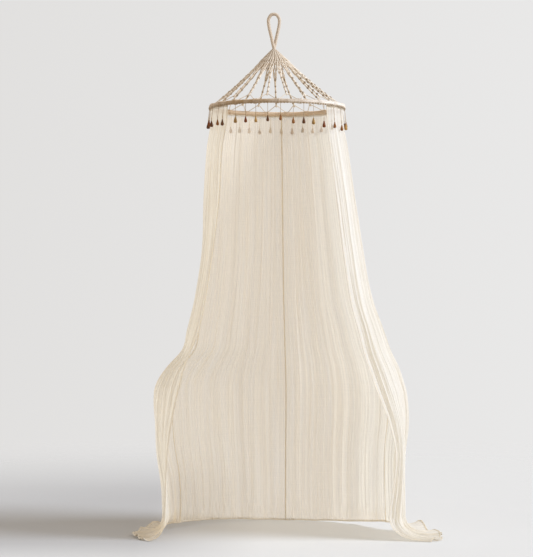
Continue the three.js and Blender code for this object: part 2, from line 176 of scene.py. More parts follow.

# %% [markdown]
# ## Gauze
#
# The panels are thin cotton gauze that was twisted while wet, so it dries in fine upright crinkles.
# One could model every thread, but a thread is far finer than a pixel. The main folds and crinkles are
# real geometry further on, and this finish adds what is finer: slubs, weave and small crinkles as a
# bump, and broad streaks of closer cloth, all on a UV map in metres so that they follow the cloth.
# Gauze is sheer, so its alpha is under one, and light soaks through it, so part of it is a translucent
# shader. A mark on each point says how the cloth lies there. Above 0 it is doubled or gathered, and
# closer, and at seams it is golden. Below 0 it is a single loose layer and sheerer, and its colour is
# tinted warm: painted warm shade, for light that passes through and between layers of cloth.

# %% Gauze finish
GAUZE_PALE = (1.0, 1.0, 0.99, 1)
GAUZE_DEEP = (0.84, 0.805, 0.735, 1)
GAUZE_SEAM = (0.97, 0.77, 0.45, 1)
GAUZE_SHADE_WARMTH = (1.0, 0.82, 0.57, 1)
GAUZE_GLOW = (1.0, 0.90, 0.71, 1)
GAUZE_ALPHA = 0.72
GAUZE_THROUGH = 0.52
GAUZE_BUMP = 0.0052
GAUZE_ROUGHNESS = 0.92
GAUZE_SHEEN = 0.12
TONE_SPAN = (0.38, 0.60)
SEAM_SPAN = (0.25, 1.0)
SEAM_TINT = 0.9
SHADE_WARMTH_PER_MARK = -3.0
ALPHA_PER_MARK = 0.30
THROUGH_PER_MARK = 0.5
THROUGH_PER_CRINKLE = 0.3
CLOSE_MIDDLE = 0.45
THREAD_PITCH = 0.0012
CRINKLE_DENSITY = (95.0, 2.6, 1.0)
SLUB_DENSITY = (700.0, 10.0, 1.0)
WEFT_DENSITY = (10.0, 500.0, 1.0)
STREAK_DENSITY = (42.0, 1.1, 1.0)


def gauze_surface(tree):
    metres = tree.add("ShaderNodeUVMap", {"uv_map": "metres"})
    mark = tree.add("ShaderNodeAttribute", {"attribute_name": "mark"}, output="Fac")
    crinkle = tree.noise(tree.stretched(metres, CRINKLE_DENSITY), 1.0, 3.0)
    slub = tree.noise(tree.stretched(metres, SLUB_DENSITY), 1.0, 1.0)
    weft = tree.noise(tree.stretched(metres, WEFT_DENSITY), 1.0, 1.0)
    streak = tree.noise(tree.stretched(metres, STREAK_DENSITY), 1.0, 2.0)
    across = tree.split(metres)
    per_thread = 2 * np.pi / THREAD_PITCH
    threads = (across * per_thread).sine() * (across.out("Y") * per_thread).sine()
    # Deeper colour in the troughs of the crinkles and along the streaks is painted shade; the slubs' share is
    # the yarn's own tone.
    tone = tree.between(crinkle * 0.5 + streak * 0.3 + slub * 0.2, *TONE_SPAN)
    colour = tree.mixed(tone, GAUZE_DEEP, GAUZE_PALE)
    colour = tree.mixed(tree.between(mark, *SEAM_SPAN) * SEAM_TINT, colour, GAUZE_SEAM)
    # Below 0 the colour is tinted warm: painted warm shade.
    colour = tree.mixed(mark * SHADE_WARMTH_PER_MARK, colour, GAUZE_SHADE_WARMTH)
    close = crinkle * 0.34 + streak * 0.30 + slub * 0.16 + weft * 0.10 - CLOSE_MIDDLE
    alpha = GAUZE_ALPHA + close + mark * ALPHA_PER_MARK
    normal = tree.bump(crinkle + slub * 0.2 + weft * 0.1 + threads * 0.04, GAUZE_BUMP)
    cloth = tree.add(
        "ShaderNodeBsdfPrincipled",
        {},
        {
            "Base Color": colour,
            "Roughness": GAUZE_ROUGHNESS,
            "Alpha": alpha,
            "Normal": normal,
            "Sheen Weight": GAUZE_SHEEN,
        },
    )
    glow = tree.add("ShaderNodeBsdfTranslucent", {}, {"Color": GAUZE_GLOW, "Normal": normal})
    clear = tree.add("ShaderNodeBsdfTransparent")
    lit = tree.add("ShaderNodeMixShader", {}, {0: alpha, 1: clear, 2: glow})
    through = GAUZE_THROUGH - abs(mark) * THROUGH_PER_MARK
    through = through + (crinkle - 0.5) * THROUGH_PER_CRINKLE
    return tree.add("ShaderNodeMixShader", {}, {0: through, 1: cloth, 2: lit})


GAUZE = new_finish("crinkled_gauze", gauze_surface)

# %% [markdown]
# ## Cotton cord
#
# The crown, the loop, the hoop's wrapping and the bead strings are all cotton cord in different
# weights. Twisted plies show as slanting grooves, a bump whose grooves are also a little darker in colour:
# painted shade. They are drawn from the cord's own UV map, which runs once round the cord and along it in
# metres, so the grooves wind round every bend. In front the colour turns from tan to pale towards the
# right: painted shade and light, for a light from the right. The far side is a painted tan all over. The
# places between knots are marked by an attribute and take the darker colour, as painted shade.

# %% Cord finishes
CORD_PALE = (0.93, 0.85, 0.725, 1)
CORD_DEEP = (0.65, 0.485, 0.325, 1)
CORD_DARK = (0.26, 0.165, 0.085, 1)
ROPE_PALE = (0.61, 0.525, 0.43, 1)
WRAP_PALE = (0.97, 0.91, 0.83, 1)
WRAP_DEEP = (0.46, 0.295, 0.14, 1)
WRAP_DARK = (0.14, 0.09, 0.05, 1)
CORD_FAR_SHADING = (0.81, 0.69, 0.54, 1)
ROPE_FAR_SHADING = (0.62, 0.51, 0.40, 1)
WRAP_FAR_SHADING = (0.75, 0.57, 0.39, 1)
FIBRE_DENSITY = 1400.0
PATCH_DENSITY = 38.0
PATCH_SPAN = (0.35, 0.68)
PATCH_TINT = 0.25
GROOVE_SPAN = (-0.2, -1.0)
GROOVE_TINT = 0.14
FAR_SHADING_SPAN = (-0.20, 0.20)
MARK_TINT = 0.55
MARK_TINT_LIT = 0.35
CORD_BUMP = 0.0005
CORD_ROUGHNESS = 0.9
CORD_SHEEN = 0.15


def cord_surface(tree, pale, deep, dark, far, plies, lay, darkest, reach, depth):
    """Cotton cord. A ply winds once round in the lay. In front the colour is deep at the darkest x and
    turns pale within the reach: painted shade and light. The far side has painted light and shade of its own."""
    metres = tree.add("ShaderNodeUVMap", {"uv_map": "metres"})
    place = tree.add("ShaderNodeTexCoord", output="Object")
    marked = tree.add("ShaderNodeAttribute", {"attribute_name": "mark"}, output="Fac")
    round_it = tree.split(metres)
    twist = (round_it * (2 * np.pi * plies) + round_it.out("Y") * (2 * np.pi / lay)).sine()
    fibre = tree.noise(place, FIBRE_DENSITY, 2.0)
    patch = tree.noise(place, PATCH_DENSITY, 2.0)
    groove = tree.between(twist, *GROOVE_SPAN)
    spot = tree.split(place)
    # Painted light and shade: the front is deep at the darkest x and pale further right, for a light from the
    # right.
    lit = tree.between(abs(spot - darkest), 0.0, reach)
    colour = tree.mixed((1 - lit) * depth + tree.between(patch, *PATCH_SPAN) * PATCH_TINT, pale, deep)
    # The far side takes a painted colour of its own for its light and shade.
    colour = tree.mixed(tree.between(spot.out("Y"), *FAR_SHADING_SPAN), colour, far)
    # The grooves between plies take a little of the dark colour: painted shade.
    colour = tree.mixed(groove * GROOVE_TINT, colour, dark)
    # Marked places take the dark colour, more where the front is lit: painted shade.
    colour = tree.mixed(marked * (MARK_TINT + lit * MARK_TINT_LIT), colour, dark)
    normal = tree.bump(twist * 0.5 + fibre * 0.4, CORD_BUMP)
    return tree.add(
        "ShaderNodeBsdfPrincipled",
        {},
        {"Base Color": colour, "Roughness": CORD_ROUGHNESS, "Normal": normal, "Sheen Weight": CORD_SHEEN},
    )


CORDS = {
    "knotted_cotton": (CORD_PALE, CORD_DEEP, CORD_DARK, CORD_FAR_SHADING, 3, 0.011, -0.18, 0.36, 0.5),
    "cotton_rope": (ROPE_PALE, CORD_DEEP, CORD_DARK, ROPE_FAR_SHADING, 6, 0.022, -0.035, 0.07, 0.65),
    "hoop_wrapping": (WRAP_PALE, WRAP_DEEP, WRAP_DARK, WRAP_FAR_SHADING, 2, 0.007, -0.14, 0.40, 0.82),
    "bead_string": (CORD_PALE, WRAP_DEEP, WRAP_DARK, CORD_FAR_SHADING, 2, 0.005, -0.14, 1.20, 0.75),
}
CROWN_CORD, LOOP_ROPE, HOOP_WRAP, BEAD_STRING = (
    new_finish(name, cord_surface, *row) for name, row in CORDS.items()
)

# %% [markdown]
# ## Stained wood
#
# The drops are small turned beads, stained in a handful of tones. One finish serves them all: each
# bead carries its tone as an attribute, and a noise that is stretched along the bead draws the grain.

# %% Wood finish
WOOD_SHADE = (0.52, 0.45, 0.40, 1)
GRAIN_DENSITY = (420.0, 420.0, 45.0)
GRAIN_SPAN = (0.62, 0.40)
GRAIN_TINT = 0.6
GRAIN_BUMP = 0.0003
WOOD_ROUGHNESS = 0.40
ROUGHNESS_PER_GRAIN = 0.2
WOOD_SPECULAR = 0.2


def wood_surface(tree):
    place = tree.add("ShaderNodeTexCoord", output="Object")
    tone = tree.add("ShaderNodeAttribute", {"attribute_name": "tone"}, output="Color")
    grain = tree.noise(tree.stretched(place, GRAIN_DENSITY), 1.0, 4.0)
    dark = tree.between(grain, *GRAIN_SPAN)
    colour = tree.mixed(dark * GRAIN_TINT, tone, WOOD_SHADE, "MULTIPLY")
    return tree.add(
        "ShaderNodeBsdfPrincipled",
        {},
        {
            "Base Color": colour,
            "Roughness": WOOD_ROUGHNESS + dark * ROUGHNESS_PER_GRAIN,
            "Specular IOR Level": WOOD_SPECULAR,
            "Normal": tree.bump(grain, GRAIN_BUMP),
        },
    )


BEAD_WOOD = new_finish("stained_wood", wood_surface)

# %% [markdown]
# ## Meshes from arrays
#
# Every mesh here is made of quads worked out with numpy: a grid for cloth, a tube for cord. A part
# holds its points, its quads, a UV for each corner in metres and a mark for each point. Heights are
# measured from the floor, and HANG carries a point into the frame, whose origin is the hook point.

# %% Parts and pieces
HANG = np.array([0.014, 0.0, -2.342])
ORIGIN = np.zeros(3)
Part = namedtuple("Part", "points quads uv mark")


def unit(vectors):
    return vectors / np.linalg.norm(vectors, axis=-1, keepdims=True)


def joined(parts):
    """Several parts as one."""
    starts = np.cumsum([0] + [len(part.points) for part in parts[:-1]])
    moved = [part._replace(quads=part.quads + start) for part, start in zip(parts, starts)]
    return Part(*(np.concatenate(column) for column in zip(*moved)))


def grid_part(points, uv, mark):
    """A part from a grid of rows and columns of points."""
    rows, wide = points.shape[:2]
    corner = (np.arange(rows - 1)[:, None] * wide + np.arange(wide - 1)).ravel()
    quads = np.stack([corner, corner + wide, corner + wide + 1, corner + 1], 1)
    return Part(points.reshape(-1, 3), quads, uv.reshape(-1, 2)[quads], mark.ravel())


def ringed_part(rings, lengths, mark, closed=False):
    """A tube from rings of points, (ring, side, xyz). An open tube gets a cap of quads at each end."""
    count, sides = rings.shape[:2]
    row, side = np.meshgrid(np.arange(count if closed else count - 1), np.arange(sides), indexing="ij")
    after = (row + 1) % count
    turn = (side + 1) % sides
    quads = np.stack([row * sides + side, row * sides + turn, after * sides + turn, after * sides + side], -1)
    quads = quads.reshape(-1, 4)
    low, high = lengths[row], lengths[row + 1]
    share = np.stack([side, side + 1, side + 1, side], -1) / sides
    uv = np.stack([share, np.stack([low, low, high, high], -1)], -1).reshape(-1, 4, 2)
    if not closed:
        fan = np.array([[0, at + 1, at + 2, at + 3] for at in range(0, sides - 2, 2)])
        quads = np.concatenate([quads, fan[:, ::-1], fan + (count - 1) * sides])
        uv = np.concatenate([uv, np.zeros((2 * len(fan), 4, 2))])
    return Part(rings.reshape(-1, 3), quads, uv, np.broadcast_to(mark, (count, sides)).ravel())


def add_piece(name, part, finish, place=HANG):
    """A smooth mesh object at the origin, with its place in its points."""
    mesh = bpy.data.meshes.new(name)
    mesh.from_pydata((part.points + place).tolist(), [], part.quads.tolist())
    mesh.uv_layers.new(name="metres").data.foreach_set("uv", part.uv.ravel())
    mesh.attributes.new("mark", "FLOAT", "POINT").data.foreach_set("value", part.mark)
    mesh.shade_smooth()
    mesh.materials.append(finish)
    piece = bpy.data.objects.new(name, mesh)
    bpy.context.scene.collection.objects.link(piece)
    print(name, len(part.points), "points", len(part.quads), "quads")
    return piece


print("the hook is", -HANG[2], "m over the floor")

# %% Cords along a path
NO_CORD_WAY = (0.31, 0.53, 0.79)
CORD_SIDES = 6


def lengths_of(path):
    """How far along a path each of its points lies."""
    return np.concatenate([[0], np.cumsum(np.linalg.norm(np.diff(path, axis=0), axis=1))])


def angles(count):
    """Even angles once round."""
    return 2 * np.pi * np.arange(count) / count


def spokes(path, sides):
    """The ways from each point of a path to its sides, carried along it without twisting."""
    along = unit(np.gradient(path, axis=0))
    side = np.empty_like(path)
    side[0] = unit(np.cross(along[0], NO_CORD_WAY))
    for i in range(1, len(path)):
        side[i] = unit(side[i - 1] - along[i] * np.dot(side[i - 1], along[i]))
    over = np.cross(along, side)
    angle = angles(sides)
    return np.cos(angle)[:, None] * side[:, None] + np.sin(angle)[:, None] * over[:, None]


def tube(path, radius, mark=0.0, sides=CORD_SIDES):
    """A closed cord along a path. The radius and the mark are one number or one for each point."""
    radii = np.broadcast_to(radius, len(path))
    marks = np.broadcast_to(mark, len(path))
    rings = path[:, None] + radii[:, None, None] * spokes(path, sides)
    return ringed_part(rings, lengths_of(path), marks[:, None])


print("a cord has", CORD_SIDES, "sides")

# %% [markdown]
# ## How the cloth hangs
#
# The gauze is sewn from four panels and hung from the hoop. It widens as it falls, bends over the floor
# and runs out into two tails. It could be simulated, but then it would choose its own folds, so it is
# laid out from tables: they give its outline at each height, its folds and its hem, and a smooth curve
# runs through their rows. A line across is a number: -2 and 2 at the front edges, -1 and 1 at the side
# seams, and 0 at the back seam. A fall is 0 at the hoop, 1 at the bend and 2 at the hem.

# %% Drape tables
CLOTH_TOP = 1.9207
BEND_HEIGHT = 0.110
HEM_HEIGHT = 0.002
LEFT_EDGE, LEFT_SEAM, BACK_SEAM, RIGHT_SEAM, RIGHT_EDGE = -2, -1, 0, 1, 2
SIDE_SEAM_TURN = np.radians(63)
BACK_SEAM_TURN = np.radians(4.5)
TAIL_SPREAD = 1 / 0.7


def table(names, rows):
    """A table as one array for each named column."""
    return dict(zip(names.split(), np.array(rows, float).T))


OUTLINE = table(
    "height left right back left_edge right_edge forward",
    [
        (0, 0.501, 0.566, 0.495, 0.492, 0.497, 0.125),
        (0.11, 0.499, 0.564, 0.495, 0.49, 0.497, 0.121),
        (0.246, 0.506, 0.561, 0.495, 0.487, 0.518, 0.131),
        (0.386, 0.53, 0.565, 0.494, 0.48, 0.526, 0.15),
        (0.52, 0.542, 0.579, 0.486, 0.462, 0.496, 0.17),
        (0.646, 0.543, 0.575, 0.466, 0.435, 0.446, 0.186),
        (0.7, 0.527, 0.562, 0.45, 0.421, 0.425, 0.187),
        (0.76, 0.485, 0.543, 0.428, 0.407, 0.404, 0.188),
        (0.835, 0.421, 0.506, 0.402, 0.378, 0.38, 0.19),
        (0.93, 0.397, 0.472, 0.378, 0.34, 0.357, 0.193),
        (1.064, 0.367, 0.425, 0.356, 0.311, 0.322, 0.196),
        (1.289, 0.334, 0.383, 0.332, 0.277, 0.287, 0.199),
        (1.514, 0.327, 0.348, 0.318, 0.251, 0.26, 0.202),
        (1.739, 0.314, 0.317, 0.308, 0.238, 0.228, 0.204),
        (1.845, 0.298, 0.298, 0.298, 0.22, 0.217, 0.204),
        (1.924, 0.297, 0.297, 0.297, 0.216, 0.213, 0.204),
    ],
)
FOLDS = table(
    "across width top low",
    [
        (-1.97, 0.07, 0.002, 0.007),
        (-1.8, 0.1, -0.002, -0.009),
        (-1.66, 0.07, 0.002, 0.008),
        (-1.5, 0.09, -0.002, -0.007),
        (-1.36, 0.08, 0.0015, 0.009),
        (-1.22, 0.08, -0.002, -0.006),
        (-1.08, 0.07, 0.0015, 0.007),
        (-0.93, 0.09, 0.002, 0.006),
        (-0.78, 0.07, -0.002, -0.007),
        (-0.66, 0.08, 0.0015, 0.008),
        (-0.51, 0.1, -0.002, -0.006),
        (-0.37, 0.07, 0.002, 0.007),
        (-0.25, 0.08, -0.0015, -0.006),
        (-0.12, 0.07, 0.0015, 0.005),
        (0.1, 0.08, 0.002, 0.006),
        (0.24, 0.09, -0.0015, -0.007),
        (0.4, 0.08, 0.002, 0.006),
        (0.55, 0.07, -0.002, -0.006),
        (0.67, 0.09, 0.0015, 0.008),
        (0.82, 0.08, -0.002, -0.007),
        (0.94, 0.07, 0.002, 0.006),
        (1.09, 0.08, -0.0015, -0.007),
        (1.23, 0.09, 0.002, 0.009),
        (1.38, 0.07, -0.002, -0.008),
        (1.52, 0.1, 0.002, 0.01),
        (1.68, 0.08, -0.002, -0.009),
        (1.83, 0.09, 0.002, 0.008),
        (1.96, 0.06, -0.0015, -0.006),
    ],
)
print("outline rows", len(OUTLINE["height"]), "folds", len(FOLDS["across"]))

# %% Hem tables
HEM = table(
    "across reach lift",
    [
        (-2, 0.072, 0),
        (-1.8, 0.135, 0.002),
        (-1.5, 0.135, 0.012),
        (-1.2, 0.062, 0.028),
        (-1, 0, 0.034),
        (-0.6, 0, 0.024),
        (0, 0, 0.008),
        (0.6, 0, 0.018),
        (1, 0, 0.038),
        (1.2, 0.08, 0.03),
        (1.5, 0.16, 0.012),
        (1.8, 0.19, 0.002),
        (2, 0.182, 0),
    ],
)
RUFFLES = table(
    "across width lift",
    [
        (-1.93, 0.06, 0.008),
        (-1.8, 0.07, 0.015),
        (-1.64, 0.07, 0.01),
        (-1.48, 0.08, 0.017),
        (-1.28, 0.1, 0.022),
        (1.27, 0.1, 0.03),
        (1.46, 0.08, 0.014),
        (1.63, 0.07, 0.019),
        (1.79, 0.07, 0.012),
        (1.94, 0.06, 0.01),
    ],
)
print("hem rows", len(HEM["across"]), "ruffles", len(RUFFLES["across"]))


# %% Where a point of the cloth lies
def smooth_at(rows, key, column, at):
    """A column's value between the rows of a table, smooth through each row."""
    keys, values = rows[key], rows[column]
    first, last = np.diff(values)[[0, -1]] / np.diff(keys)[[0, -1]]
    inner = (values[2:] - values[:-2]) / (keys[2:] - keys[:-2])
    slopes = np.concatenate([[first], inner, [last]])
    i = np.clip(np.searchsorted(keys, at) - 1, 0, len(keys) - 2)
    span = keys[i + 1] - keys[i]
    t = (at - keys[i]) / span
    leave = t * (1 - t) ** 2 * span * slopes[i]
    arrive = t**2 * (t - 1) * span * slopes[i + 1]
    return values[i] + (values[i + 1] - values[i]) * t**2 * (3 - 2 * t) + leave + arrive


def hump(t):
    """A smooth hump of height 1 at 0, level with the cloth at 1 either way."""
    return np.where(np.abs(t) < 1, 0.5 + 0.5 * np.cos(np.pi * np.clip(t, -1, 1)), 0)


def outline_at(across, height):
    """The cloth's smooth outline at lines across and heights, and the way it faces there."""
    column = {name: smooth_at(OUTLINE, "height", name, height) for name in OUTLINE if name != "height"}
    left = across < 0
    edge = np.where(left, column["left_edge"], column["right_edge"])
    edge_turn = np.pi - np.arcsin(edge / np.where(left, column["left"], column["right"]))
    within = np.clip(across, -1, 1) * (SIDE_SEAM_TURN - np.sign(across) * BACK_SEAM_TURN)
    past = np.maximum(np.abs(across) - 1, 0) * (edge_turn - SIDE_SEAM_TURN)
    turn = BACK_SEAM_TURN + within + np.sign(across) * past
    half = np.where(turn < 0, column["left"], column["right"])
    depth = np.where(np.cos(turn) > 0, column["back"], column["forward"] / -np.cos(edge_turn))
    level = np.zeros_like(half)
    point = np.stack([half * np.sin(turn), depth * np.cos(turn), height + level], -1)
    facing = unit(np.stack([np.sin(turn) / half, np.cos(turn) / depth, level], -1))
    return point, facing


def cloth_points(across, fall):
    """The middle of the cloth at lines across and falls."""
    lying = np.maximum(fall - 1, 0)
    hanging = np.minimum(fall, 1)
    height = CLOTH_TOP + (BEND_HEIGHT - CLOTH_TOP) * hanging
    height = np.where(lying > 0, HEM_HEIGHT + (BEND_HEIGHT - HEM_HEIGHT) * (1 - lying) ** 2, height)
    point, facing = outline_at(across, height)
    for middle, width, top, low in zip(*FOLDS.values()):
        point += facing * ((top + (low - top) * hanging) * hump((across - middle) / width))[..., None]
    flow = np.maximum(smooth_at(HEM, "across", "reach", across), 0) * lying**2
    point[..., 0] += np.sign(across) * flow
    point[..., 1] += flow * TAIL_SPREAD * point[..., 1]
    ruffle = sum(lift * hump((across - middle) / width) for middle, width, lift in zip(*RUFFLES.values()))
    point[..., 2] += smooth_at(HEM, "across", "lift", across) * lying + ruffle * lying**3
    return point


top_bend_tail = cloth_points(np.array([0.0, 0.0, 1.5]), np.array([0.0, 1.0, 2.0]))
print("cloth at the hoop, the bend and a tail", top_bend_tail.round(3).tolist())

# %% [markdown]
# ## Crinkles
#
# Between the main folds the gauze is covered in narrow upright crinkles, some long, some short, none
# quite straight. A few that show as lines of their own are listed one by one. The many fine ones come from
# a fixed seed: each is a narrow ridge or trough that starts and ends somewhere along the fall. They are
# higher on the front panels and low down, and the right of the back lies calmer.

# %% Crease table
CREASES = table(
    "top_across low_across start end width height",
    [
        (-1.93, -1.93, -0.30, 1.30, 0.065, 0.0060),
        (-1.72, -1.78, 0.20, 0.90, 0.034, -0.0030),
        (-1.52, -1.62, 0.05, 0.62, 0.036, 0.0034),
        (-1.30, -1.44, 0.30, 0.95, 0.040, -0.0034),
        (-1.12, -1.20, 0.10, 0.80, 0.034, 0.0030),
        (-0.86, -0.90, 0.25, 1.10, 0.034, 0.0030),
        (-0.60, -0.64, 0.05, 0.70, 0.030, -0.0026),
        (-0.34, -0.30, 0.35, 1.20, 0.032, 0.0030),
        (0.16, 0.13, 0.10, 0.85, 0.028, 0.0012),
        (0.46, 0.50, 0.30, 1.15, 0.034, -0.0010),
        (0.74, 0.79, 0.05, 0.80, 0.032, 0.0012),
        (1.03, 1.12, 0.15, 0.70, 0.034, 0.0020),
        (1.17, 1.33, 0.05, 0.85, 0.038, -0.0012),
        (1.44, 1.60, 0.10, 0.75, 0.040, 0.0013),
        (1.60, 1.72, 0.35, 0.98, 0.038, -0.0012),
        (1.88, 1.90, 0.05, 0.80, 0.030, 0.0018),
        (-1.93, -1.95, 0.50, 1.50, 0.030, -0.0036),
        (-1.80, -1.84, 0.55, 1.60, 0.028, 0.0042),
        (-1.60, -1.70, 0.55, 1.50, 0.032, -0.0040),
        (-1.46, -1.52, 0.50, 1.40, 0.030, 0.0044),
        (-1.24, -1.30, 0.55, 1.35, 0.032, -0.0038),
        (1.20, 1.30, 0.50, 1.40, 0.032, 0.0042),
        (1.40, 1.50, 0.55, 1.50, 0.030, -0.0044),
        (1.56, 1.66, 0.50, 1.45, 0.030, 0.0040),
        (1.70, 1.80, 0.55, 1.60, 0.032, -0.0040),
        (1.84, 1.92, 0.50, 1.50, 0.028, 0.0038),
    ],
)
print("creases", len(CREASES["width"]))

# %% Crinkles
CRINKLE_SEED = 11
CRINKLE_COUNT = 900
CRINKLE_AT_HOOP = 0.8
CRINKLE_GROWTH = 0.9
CRINKLE_AT_FRONT = 0.35
CALM_MIDDLE = 0.70
CALM_WIDTH = 0.55
CALM_SHARE = 0.5
FRONT_FROM = 0.9
FRONT_RAMP = 0.2
draw = np.random.default_rng(CRINKLE_SEED)
CRINKLES = {
    "across": draw.uniform(-2.02, 2.02, CRINKLE_COUNT),
    "width": draw.uniform(0.009, 0.022, CRINKLE_COUNT),
    "height": draw.uniform(0.0005, 0.0019, CRINKLE_COUNT) * draw.choice([-1, 1], CRINKLE_COUNT),
    "start": draw.uniform(-0.5, 1.3, CRINKLE_COUNT),
    "length": draw.uniform(0.5, 1.5, CRINKLE_COUNT),
    "wander": draw.uniform(0.004, 0.020, CRINKLE_COUNT),
    "waves": draw.uniform(2.0, 6.0, CRINKLE_COUNT),
    "phase": draw.uniform(0, 2 * np.pi, CRINKLE_COUNT),
}


def crinkle_heights(across, fall):
    """How far the fine crinkles and placed creases lift the cloth at a grid of lines across and falls."""
    lift = np.zeros_like(across)
    for top, low, start, end, width, height in zip(*CREASES.values()):
        share = np.clip((fall - start) / (end - start), 0, 1)
        middle = top + (low - top) * share
        lift += height * np.sin(np.pi * share) * hump((across - middle) / width)
    for middle, width, height, start, length, wander, waves, phase in zip(*CRINKLES.values()):
        near = np.flatnonzero(np.abs(across[0] - middle) < width + wander)
        if len(near) == 0:
            continue
        run = slice(near[0], near[-1] + 1)
        share = np.clip((fall[:, run] - start) / length, 0, 1)
        bend = middle + wander * np.sin(waves * fall[:, run] + phase)
        lift[:, run] += height * np.sin(np.pi * share) * hump((across[:, run] - bend) / width)
    front = np.clip(np.abs(across) - FRONT_FROM, 0, FRONT_RAMP) / FRONT_RAMP
    calm = 1 - CALM_SHARE * hump((across - CALM_MIDDLE) / CALM_WIDTH)
    growth = CRINKLE_AT_HOOP + CRINKLE_GROWTH * np.minimum(fall, 1)
    return lift * growth * calm * (1 + CRINKLE_AT_FRONT * front)


print("crinkles", CRINKLE_COUNT, "up to", round(abs(CRINKLES["height"]).max() * 1000, 2), "mm high")

# %% [markdown]
# ## The four panels
#
# Each panel is a fine grid laid on the drape and pushed along its own normal by the crinkles. Its seams
# and hems are flat sewn bands that run along the panel's edges, because gauze alone would fray, and the
# two front edges are thin rolls. They are thicker than the cloth, and their mark makes the finish closer
# there. A panel has two marks of its own, one before the first of the mark shares of its width and one
# past the second, and a third for its tail: the right front is gathered most, and the back is sheerest.
# Marks below 0 also tint the cloth warm: painted warm shade on the back, the tails and most of the left
# front.

# %% Sewn bands
BAND_SIDES = 8
BAND_HALF_THICK = 0.0008
DOUBLED_MARK = 0.45


def in_metres(part, girth):
    """A tube whose UV runs round it in metres too, as the gauze finish needs."""
    return part._replace(uv=part.uv * (girth, 1))


def beside(path, out):
    """The way to the side of a line on the cloth, which faces out."""
    return unit(np.cross(unit(np.gradient(path, axis=0)), out))


def band(path, out, half_width, half_thick, inset, mark=DOUBLED_MARK):
    """A sewn band along a line of the cloth, moved sideways by its inset."""
    angle = angles(BAND_SIDES)
    wide = inset + half_width * np.cos(angle)
    thick = half_thick * np.sin(angle)
    rings = path[:, None] + wide[:, None] * beside(path, out)[:, None] + thick[:, None] * out[:, None]
    return in_metres(ringed_part(rings, lengths_of(path), mark), 4 * (half_width + half_thick))


print("a band has", BAND_SIDES, "sides and is", 2 * BAND_HALF_THICK, "m thick")

# %% Panels
PANEL_COLUMNS = 380
HANG_ROWS = 90
TAIL_ROWS = 24
FLOOR_CLEAR = 0.0030
SEAM_HALF_WIDTH = 0.0022
HEM_HALF_WIDTH = 0.0040
LEFT_ROLL = (0.0016, 0.0008)
RIGHT_ROLL = (0.0024, 0.0011)
ROLL_MARK = 0.35
DOUBLED_WIDTH = 0.004
SEAM_MARK = 0.70
MARK_SHARES = (0.45, 0.75)
TAIL_RAMP = 8
PANELS = {
    # Marks below 0, the tails' marks among them, tint the cloth warm: painted warm shade.
    "gauze_left_front": ("panel_left_front", LEFT_EDGE, LEFT_SEAM, (-0.02, -0.22), -0.26),
    "gauze_left_back": ("panel_left_back", LEFT_SEAM, BACK_SEAM, (-0.25, -0.25), -0.25),
    "gauze_right_back": ("panel_right_back", BACK_SEAM, RIGHT_SEAM, (-0.25, -0.12), -0.25),
    "gauze_right_front": ("panel_right_front", RIGHT_SEAM, RIGHT_EDGE, (0.06, 0.22), -0.06),
}


def panel_grid(start, end):
    """The points of a panel with its crinkles, and the way it faces at each."""
    fall = np.concatenate([np.linspace(0, 1, HANG_ROWS + 1), np.linspace(1, 2, TAIL_ROWS + 1)[1:]])
    across, fall = np.meshgrid(np.linspace(start, end, PANEL_COLUMNS + 1), fall)
    smooth = cloth_points(across, fall)
    downward, sideward = np.gradient(smooth, axis=0), np.gradient(smooth, axis=1)
    facing = unit(np.cross(downward, sideward))
    points = smooth + facing * crinkle_heights(across, fall)[..., None]
    points[..., 2] = np.maximum(points[..., 2], FLOOR_CLEAR)
    return points, facing


def panel_part(start, end, marks, tail_mark, points, facing):
    """A panel with its marks, and with its hems, its front edge's roll or its seam to the next panel."""
    width = lengths_of(points[HANG_ROWS // 2])
    length = lengths_of(points[:, PANEL_COLUMNS // 2])
    uv = np.stack(np.meshgrid(width, length), -1) + (start, 0)
    from_start = width if start > LEFT_EDGE else width + DOUBLED_WIDTH
    to_edge = np.minimum(from_start, width[-1] - width)
    to_hem = np.minimum(length, length[-1] - length)[:, None]
    tail = np.clip((np.arange(len(length)) - HANG_ROWS) / TAIL_RAMP, 0, 1)[:, None]
    gathered = np.interp(width / width[-1], MARK_SHARES, marks) * (1 - tail) + tail_mark * tail
    mark = gathered + DOUBLED_MARK * np.clip(1 - np.minimum(to_edge, to_hem) / DOUBLED_WIDTH, 0, 1)
    first, last = (points[:, 0], facing[:, 0]), (points[:, -1], facing[:, -1])
    parts = [grid_part(points, uv, mark)]
    parts.append(band(points[-1], facing[-1], HEM_HALF_WIDTH, BAND_HALF_THICK, -HEM_HALF_WIDTH))
    parts.append(band(points[0], facing[0], HEM_HALF_WIDTH, BAND_HALF_THICK, HEM_HALF_WIDTH))
    if start == LEFT_EDGE:
        parts.append(band(*first, *LEFT_ROLL, -LEFT_ROLL[0], marks[0]))
    if end == RIGHT_EDGE:
        parts.append(band(*last, *RIGHT_ROLL, RIGHT_ROLL[0], ROLL_MARK))
    else:
        parts.append(band(*last, SEAM_HALF_WIDTH, BAND_HALF_THICK, 0.0, SEAM_MARK))
    return joined(parts)


grids = {name: panel_grid(start, end) for name, (_, start, end, *_) in PANELS.items()}
panels = {}
for name, (_, *layout) in PANELS.items():
    panels[name] = add_piece(name, panel_part(*layout, *grids[name]), GAUZE)

# %% [markdown]
# ## Copies along a path
#
# Stitches along a seam, turns of cord round a hoop and knots down a strand are all one small shape that
# is repeated along a line. Geometry Nodes do this once for all of them: the tree turns a mesh of lines
# into curves, spreads points along them at a pitch, and sets a copy on each point, turned with the
# curve and a little uneven in size. The copies are made real, because an exported model has no instances.

